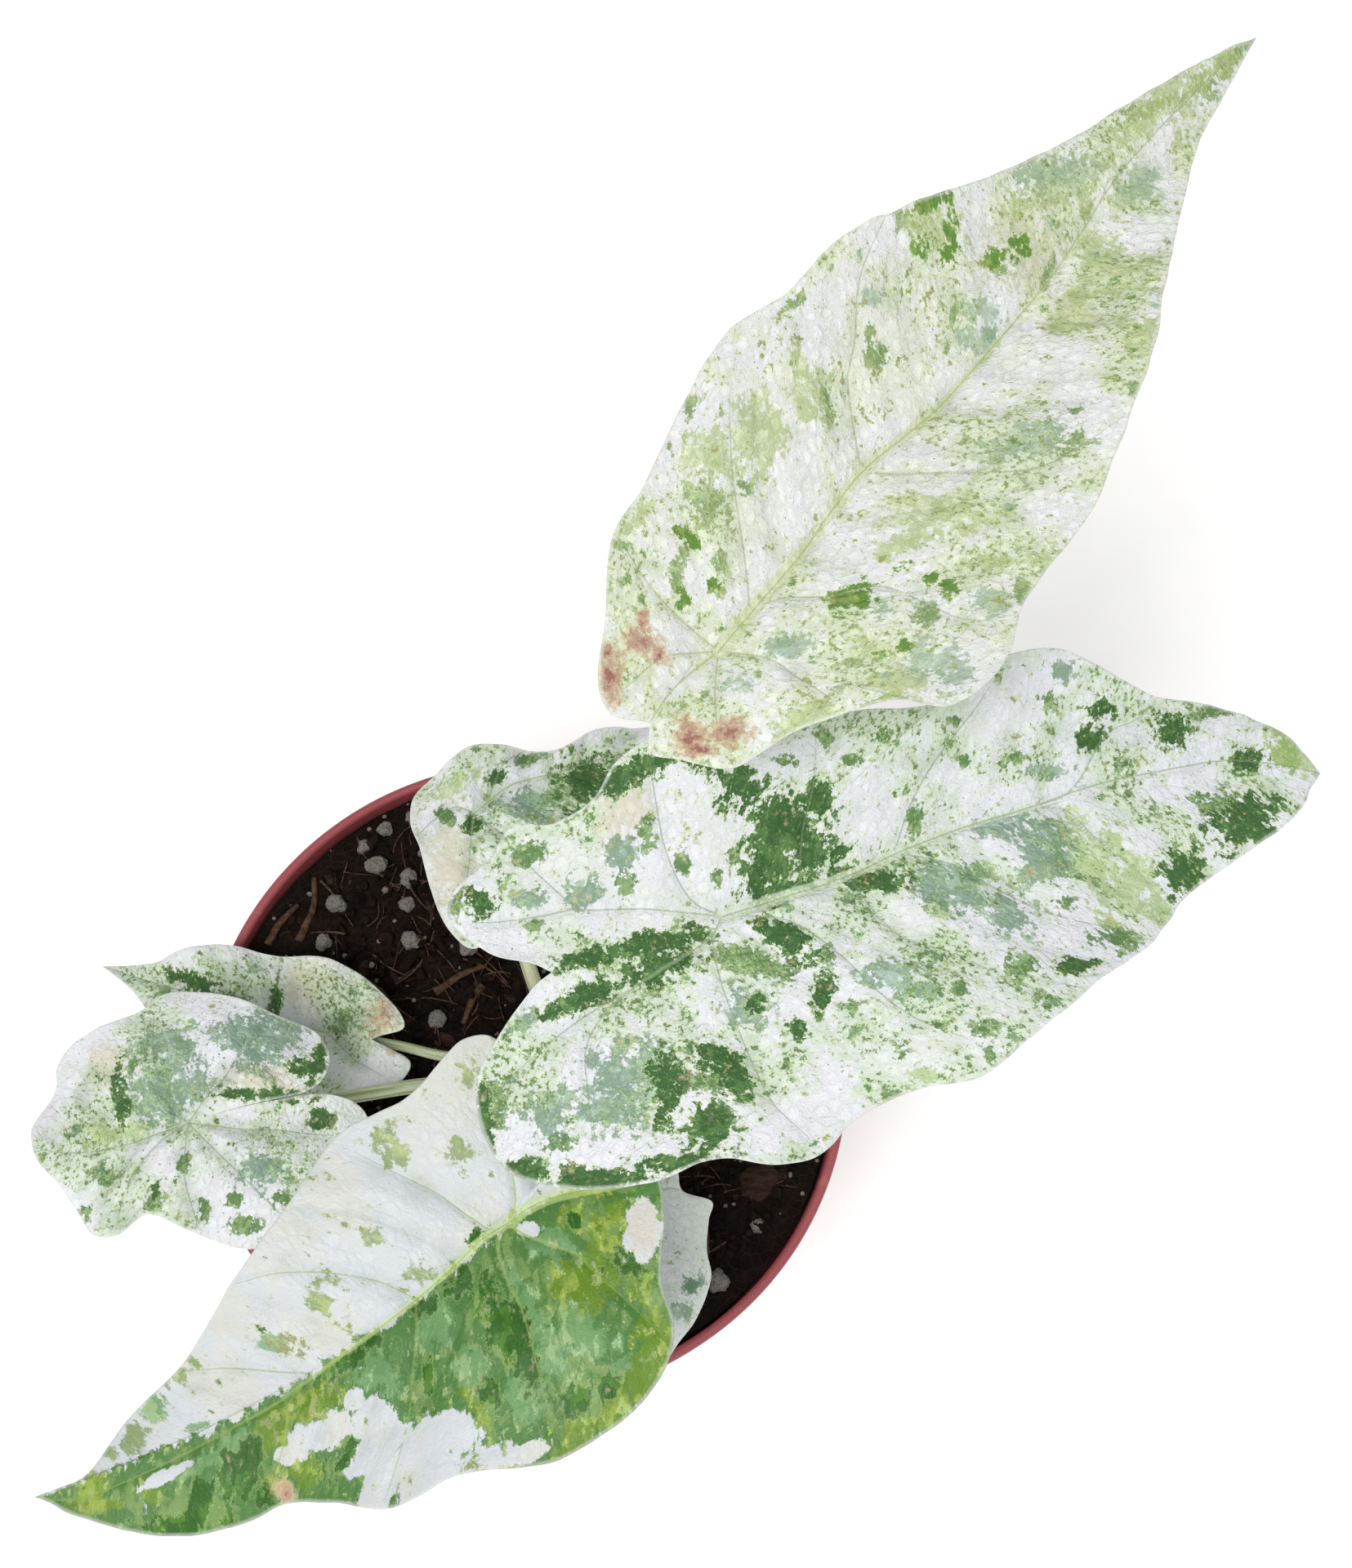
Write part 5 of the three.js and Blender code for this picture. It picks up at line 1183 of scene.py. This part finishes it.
    # dried and bruised places, the pale thin rim and the duller underside
    hurt = addNode(tree, "ShaderNodeMath", {0: ragged, 1: 0.9, 2: washes["Z"]},
                   operation="MULTIPLY_ADD").outputs[0]
    for tone, low, high in leafWearAndShade["harm"]:
        colour = coat(colour, tone, hurt, low, high, 0.75)
    inward = addNode(tree, "ShaderNodeMath", {0: 1.0, 1: margin["X"]}, operation="SUBTRACT").outputs[0]
    colour = coat(colour, look["warm"], inward, 0.4, 0.95, 0.5)
    colour = coat(colour, leafWearAndShade["underside"], margin["Y"], 0.4, 0.6, 0.5)
    gloss = addNode(tree, "ShaderNodeMapRange", {"Value": tatter.outputs["Fac"], "To Min": look["gloss"] - 0.08,
                                                 "To Max": look["gloss"] + 0.1})
    matt = addNode(tree, "ShaderNodeMath", {0: margin["Y"], 1: 0.15, 2: gloss.outputs["Result"]},
                   operation="MULTIPLY_ADD")
    net = addNode(tree, "ShaderNodeTexVoronoi", {"Vector": bent, "Scale": 0.62}, feature="DISTANCE_TO_EDGE")
    quilt = addNode(tree, "ShaderNodeMapRange", {"Value": net.outputs["Distance"], "From Max": 0.2})
    netted = addNode(tree, "ShaderNodeMath", {0: quilt.outputs["Result"], 1: 0.6, 2: fine.outputs["Fac"]},
                     operation="MULTIPLY_ADD")
    finishSkin(tree, colour, matt.outputs[0], netted.outputs[0], look["wrinkle"], 0.4, values={"IOR": 1.42})
    return skin


skins = {name: bladeSkin(look) for name, look in looks.items()}
slots = {"cream": "blade_cream", "white": "blade_white", "halfGreen": "blade_half_green"}
for number, leaf in leaves.items():
    if number in (1, 2, 3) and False:
        leaf["fine"] = (240, 60)
    piece = bladePiece(number, leaf, skins[leaf["skin"]])
    place(piece, slots[leaf["skin"]], f"blade_{number}")
    print(f"leaf blade {number}:", len(piece.data.polygons), "faces")

stalk = {
    "crownAt": (7, 0), "crownTop": 103, "footDepth": 91, "sides": 28, "steps": 120,
    "pale": "#CBD2B4", "green": "#8E9C70", "deep": "#6F8056", "base": "#B9A98A",
    "sheath": 0.22, "groove": 0.1, "tuckUnder": 0.7,
}

# Living leaf stalk, variegated: smooth satin skin with lengthwise cream and green streaks
stalkSkin, tree = newSkin("streakedStalkSkin", stalk["green"])
where = addNode(tree, "ShaderNodeAttribute", attribute_name="spot").outputs["Vector"]
streaked = addNode(tree, "ShaderNodeMapping", {"Vector": where, "Scale": (0.9, 0.9, 0.045)})
streak = addNode(tree, "ShaderNodeTexNoise", {"Vector": streaked.outputs["Vector"], "Scale": 1.0, "Detail": 5.0,
                                              "Roughness": 0.65})
pores = addNode(tree, "ShaderNodeTexNoise", {"Vector": where, "Scale": 2.4, "Detail": 3.0})
stripe = layer(tree, stalk["green"], stalk["pale"], streak.outputs["Fac"], 0.38, 0.6)
freckle = layer(tree, stripe, stalk["deep"], pores.outputs["Fac"], 0.6, 0.72, 0.6)
lift = addNode(tree, "ShaderNodeSeparateXYZ", {0: where})
footed = layer(tree, freckle, stalk["base"], lift.outputs["Z"], 26.0, 8.0, 0.65, "SMOOTHSTEP")
satin = addNode(tree, "ShaderNodeMapRange", {"Value": streak.outputs["Fac"], "To Min": 0.36, "To Max": 0.55})
finishSkin(tree, footed, satin.outputs["Result"], streak.outputs["Fac"], 0.4, 0.25, values={"IOR": 1.42})


def petiolePath(leaf):
    angle = math.radians(leaf["foot"][0])
    foot = (stalk["crownAt"][0] + leaf["foot"][1] * math.cos(angle),
            stalk["crownAt"][1] + leaf["foot"][1] * math.sin(angle))
    x, y, z = leaf["hub"]
    return [(*foot, stalk["footDepth"]), (*foot, stalk["crownTop"] - 4), *leaf["petiole"], (x, y, z - 0.9)]


def underBlade(leaf, spots):
    # keeps a stalk's top below the upper face of its own blade
    heading = math.radians(leaf["heading"])
    edge = bladeEdge(leaf, 120)
    held = []
    for x, y, z in spots:
        dx, dy = x - leaf["hub"][0], y - leaf["hub"][1]
        along = dx * math.cos(heading) + dy * math.sin(heading)
        across = dy * math.cos(heading) - dx * math.sin(heading)
        if z > leaf["hub"][2] - 14 and insideEdge(edge, (along, across)):
            top = bladeHeight(leaf, np.array([along]), np.array([across]), 0.0, 0.0)[0] + leaf["hub"][2]
            z = min(z, top - stalk["tuckUnder"])
        held.append((x, y, z))
    return held


for number, leaf in leaves.items():
    path, length = curveThrough(petiolePath(leaf), stalk["steps"])

    def girth(part, angle, leaf=leaf):
        radius = leaf["petioleRadius"] + (leaf["footRadius"] - leaf["petioleRadius"]) * (1 - part) ** 2
        flare = stalk["sheath"] * max(0.0, 1 - part / 0.25) * max(0.0, math.cos(angle - 2.2)) ** 2
        return radius * (0.97 + flare - stalk["groove"] * math.exp(-((angle - 3.1) / 0.5) ** 2))

    points, faces = rod(path, girth, stalk["sides"])
    turns = np.tile(np.arange(stalk["sides"]) / stalk["sides"] * 2 * math.pi, stalk["steps"])
    runs = np.repeat(np.linspace(0, length, stalk["steps"]), stalk["sides"])
    spots = np.stack([2 * np.cos(turns) + number * 11, 2 * np.sin(turns), runs], axis=1)
    piece = meshPiece(f"leaf_stalk_{number}", underBlade(leaf, points), faces, stalkSkin,
                      fields={"spot": spots})
    place(piece, "petiole_skin", f"petiole_{number}")
print("seven leaf stalks")

crown = {
    "sides": 120, "rings": 60,
    "outline": [(0, 76), (7.5, 77), (11.25, 83), (12.5, 90), (12.1, 97), (10.3, 101), (6.25, 102.6), (0, 103)],
    "green": "#8B955F", "tan": "#9C7B55", "dark": "#5E4430",
    "scraps": [  # bearing, distance from the axis, width, height, lean
        (60, 10.5, 9, 17, 10), (200, 10, 11, 14, 4), (300, 11, 8, 15, 8), (135, 11, 7, 10, 0),
    ],
    "scrapFoot": 97.5, "scrapThickness": 0.35, "scrapCells": (14, 16),
}

# Short stem with old leaf sheaths: green tissue under torn papery brown skin
crownSkin, tree = newSkin("sheathedStemSkin", crown["green"])
where = addNode(tree, "ShaderNodeTexCoord").outputs["Object"]
grain = addNode(tree, "ShaderNodeMapping", {"Vector": where, "Scale": (420.0, 420.0, 110.0)})
fibres = addNode(tree, "ShaderNodeTexNoise", {"Vector": grain.outputs["Vector"], "Scale": 1.0, "Detail": 6.0})
peel = addNode(tree, "ShaderNodeTexNoise", {"Vector": where, "Scale": 150.0, "Detail": 5.0})
paper = layer(tree, crown["dark"], crown["tan"], fibres.outputs["Fac"], 0.35, 0.65)
stem = layer(tree, paper, crown["green"], peel.outputs["Fac"], 0.5, 0.6)
finishSkin(tree, stem, 0.6, fibres.outputs["Fac"], 0.6, 0.4)

profile = curveThrough([(r, 0, z) for r, z in crown["outline"]], crown["rings"])[0][:, [0, 2]]
profile[0, 0] = profile[-1, 0] = 0
points, faces = turnedFaces([tuple(p) for p in profile], crown["sides"])
shaped = []
for x, y, z in points:
    ridge = 0.25 * math.sin(z * 1.9) + 0.7 * noise.noise(Vector((x / 5, y / 5, z / 9)))
    reach = math.hypot(x, y) or 1.0
    shaped.append((stalk["crownAt"][0] + x * (1 + ridge / max(reach, 6) - 0.03),
                   stalk["crownAt"][1] + y * (1 + ridge / max(reach, 6) - 0.03), z))
parts = [(shaped, faces)]
for bearing, distance, wide, high, lean in crown["scraps"]:
    # a torn sheath: a thin curved scrap that tapers to a point
    points, faces = [], []
    columns, rows = crown["scrapCells"]
    for layer in (0, crown["scrapThickness"]):
        for row in range(rows + 1):
            part = row / rows
            spread = wide * (1 - part ** 1.6) * 0.5 + 0.15
            for column in range(columns + 1):
                along = (column / columns - 0.5) * 2
                angle = math.radians(bearing) + along * spread / distance
                reach = distance + lean * 0.12 * part ** 2 - layer
                reach += 0.4 * noise.noise(Vector((along, part * 3, bearing)))
                points.append((stalk["crownAt"][0] + reach * math.cos(angle),
                               stalk["crownAt"][1] + reach * math.sin(angle), crown["scrapFoot"] + high * part))
    size = (rows + 1) * (columns + 1)
    for row in range(rows):
        for column in range(columns):
            a = row * (columns + 1) + column
            b, c, d = a + 1, a + columns + 2, a + columns + 1
            faces += [(a, b, c, d), (size + a, size + d, size + c, size + b)]
    for row in range(rows):
        for a in (row * (columns + 1) + columns, row * (columns + 1)):
            b = a + columns + 1
            faces.append((a, size + a, size + b, b) if a % (columns + 1) else (a, b, size + b, size + a))
    for column in range(columns):
        top = rows * (columns + 1) + column
        faces.append((column, size + column, size + column + 1, column + 1))
        faces.append((top, top + 1, size + top + 1, size + top))
    parts.append((points, faces))
place(meshPiece("crown_base", *joined(parts), crownSkin), "crown_skin", "crown")
print("crown")


def scatterTree(name, form):
    # strews one small form over a surface, each turned and sized by chance
    tree = bpy.data.node_groups.new(name, "GeometryNodeTree")
    tree.interface.new_socket(name="Geometry", in_out="OUTPUT", socket_type="NodeSocketGeometry")
    for label, kind in (("Geometry", "Geometry"), ("Density", "Float"), ("Seed", "Int"), ("Smallest", "Vector"),
                        ("Largest", "Vector"), ("Tilt", "Float"), ("Roughening", "Float"),
                        ("Skin", "Material")):
        tree.interface.new_socket(name=label, in_out="INPUT", socket_type=f"NodeSocket{kind}")
    asked = addNode(tree, "NodeGroupInput").outputs
    strewn = addNode(tree, "GeometryNodeDistributePointsOnFaces",
                     {"Mesh": asked["Geometry"], "Density": asked["Density"], "Seed": asked["Seed"]})
    if form == "grain":
        shape = addNode(tree, "GeometryNodeMeshUVSphere",
                        {"Segments": 7, "Rings": 5, "Radius": 1.0}).outputs["Mesh"]
    else:
        spine = addNode(tree, "GeometryNodeCurveQuadraticBezier",
                        {"Resolution": 9, "Start": (-1.0, 0.0, 0.0), "Middle": (0.1, 0.55, 0.16),
                         "End": (1.0, -0.1, 0.02)})
        ringShape = addNode(tree, "GeometryNodeCurvePrimitiveCircle", {"Resolution": 5, "Radius": 0.045})
        shape = addNode(tree, "GeometryNodeCurveToMesh",
                        {"Curve": spine.outputs["Curve"], "Profile Curve": ringShape.outputs["Curve"],
                         "Fill Caps": True}).outputs["Mesh"]
    lean = addNode(tree, "ShaderNodeMath", {0: asked["Tilt"], 1: -1.0}, operation="MULTIPLY")
    most = addNode(tree, "ShaderNodeCombineXYZ", {0: asked["Tilt"], 1: asked["Tilt"], 2: 6.283})
    least = addNode(tree, "ShaderNodeCombineXYZ", {0: lean.outputs[0], 1: lean.outputs[0]})
    spin = addNode(tree, "FunctionNodeRandomValue",
                   {0: least.outputs[0], 1: most.outputs[0], "Seed": asked["Seed"]}, data_type="FLOAT_VECTOR")
    grow = addNode(tree, "FunctionNodeRandomValue", {0: asked["Smallest"], 1: asked["Largest"], "Seed": 5},
                   data_type="FLOAT_VECTOR")
    copies = addNode(tree, "GeometryNodeInstanceOnPoints",
                     {"Points": strewn.outputs["Points"], "Instance": shape, "Rotation": spin.outputs[0],
                      "Scale": grow.outputs[0]})
    real = addNode(tree, "GeometryNodeRealizeInstances", {"Geometry": copies.outputs["Instances"]})
    here = addNode(tree, "GeometryNodeInputPosition")
    rumple = addNode(tree, "ShaderNodeTexNoise", {"Vector": here.outputs[0], "Scale": 900.0, "Detail": 1.0})
    middled = addNode(tree, "ShaderNodeVectorMath", {0: rumple.outputs["Color"], 1: (-0.5, -0.5, -0.5)},
                      operation="ADD")
    amount = addNode(tree, "ShaderNodeVectorMath", {0: middled.outputs[0], "Scale": asked["Roughening"]},
                     operation="SCALE")
    moved = addNode(tree, "GeometryNodeSetPosition", {"Geometry": real.outputs[0], "Offset": amount.outputs[0]})
    skinned = addNode(tree, "GeometryNodeSetMaterial",
                      {"Geometry": moved.outputs[0], "Material": asked["Skin"]})
    addNode(tree, "NodeGroupOutput", {"Geometry": skinned.outputs[0]})
    return tree


# name, form, material, slot, count per square metre, smallest and largest in mm, tilt, roughening in mm
litter = [
    ("peat_crumbs", "grain", crumbSkin, "potting_mix", 150000, (0.45, 0.35, 0.3), (1.7, 1.3, 0.9), 3.1, 0.7),
    ("coarse_crumbs", "grain", crumbSkin, "potting_mix", 14000, (1.3, 1.0, 0.7), (3.2, 2.3, 1.5), 3.1, 1.6),
    ("perlite_bits", "grain", perliteSkin, "perlite", 7000, (0.3, 0.3, 0.25), (1.0, 0.9, 0.8), 3.1, 0.5),
    ("bark_bits", "grain", barkSkin, "bark", 9000, (0.7, 0.4, 0.25), (2.6, 1.3, 0.6), 0.5, 0.8),
    ("root_hairs", "hair", fibreSkin, "root_fibre", 42000, (2.0, 1.6, 1.6), (7.5, 5.0, 3.2), 0.35, 0.4),
]
trees = {form: scatterTree(f"{form}Litter", form) for form in ("grain", "hair")}
for seed, (name, form, skin, slotName, count, small, large, tilt, roughening) in enumerate(litter):
    bed = bmesh.new()
    bmesh.ops.create_circle(bed, cap_ends=True, cap_tris=True, segments=90, radius=soil["strewn"][form] * mm)
    bmesh.ops.subdivide_edges(bed, edges=bed.edges, cuts=5, use_grid_fill=True)
    for vert in bed.verts:
        x, y = vert.co.x / mm, vert.co.y / mm
        vert.co.z = (float(soilHeight(x, y)) + soilRelief(x, y) + 0.15) * mm
    stemX, stemY, clear = soil["clearing"]
    stem = [v for v in bed.verts if math.hypot(v.co.x / mm - stemX, v.co.y / mm - stemY) < clear]
    bmesh.ops.delete(bed, geom=stem, context="VERTS")
    bedMesh = bpy.data.meshes.new(name)
    bed.to_mesh(bedMesh)
    bed.free()
    piece = bpy.data.objects.new(name, bedMesh)
    bpy.context.scene.collection.objects.link(piece)
    strew = piece.modifiers.new("strew", "NODES")
    strew.node_group = trees[form]
    wanted = {"Density": float(count), "Seed": 11 + seed, "Smallest": [v * mm for v in small],
              "Largest": [v * mm for v in large], "Tilt": tilt, "Roughening": roughening * mm, "Skin": skin}
    for item in trees[form].interface.items_tree:
        if item.in_out == "INPUT" and item.name in wanted:
            strew[item.identifier] = wanted[item.name]
    graph = bpy.context.evaluated_depsgraph_get()
    baked = bpy.data.meshes.new_from_object(piece.evaluated_get(graph))
    piece.modifiers.clear()
    piece.data = baked
    baked.polygons.foreach_set("use_smooth", [form == "hair"] * len(baked.polygons))
    place(piece, slotName)
    print(f"{name}:", len(baked.polygons), "faces")
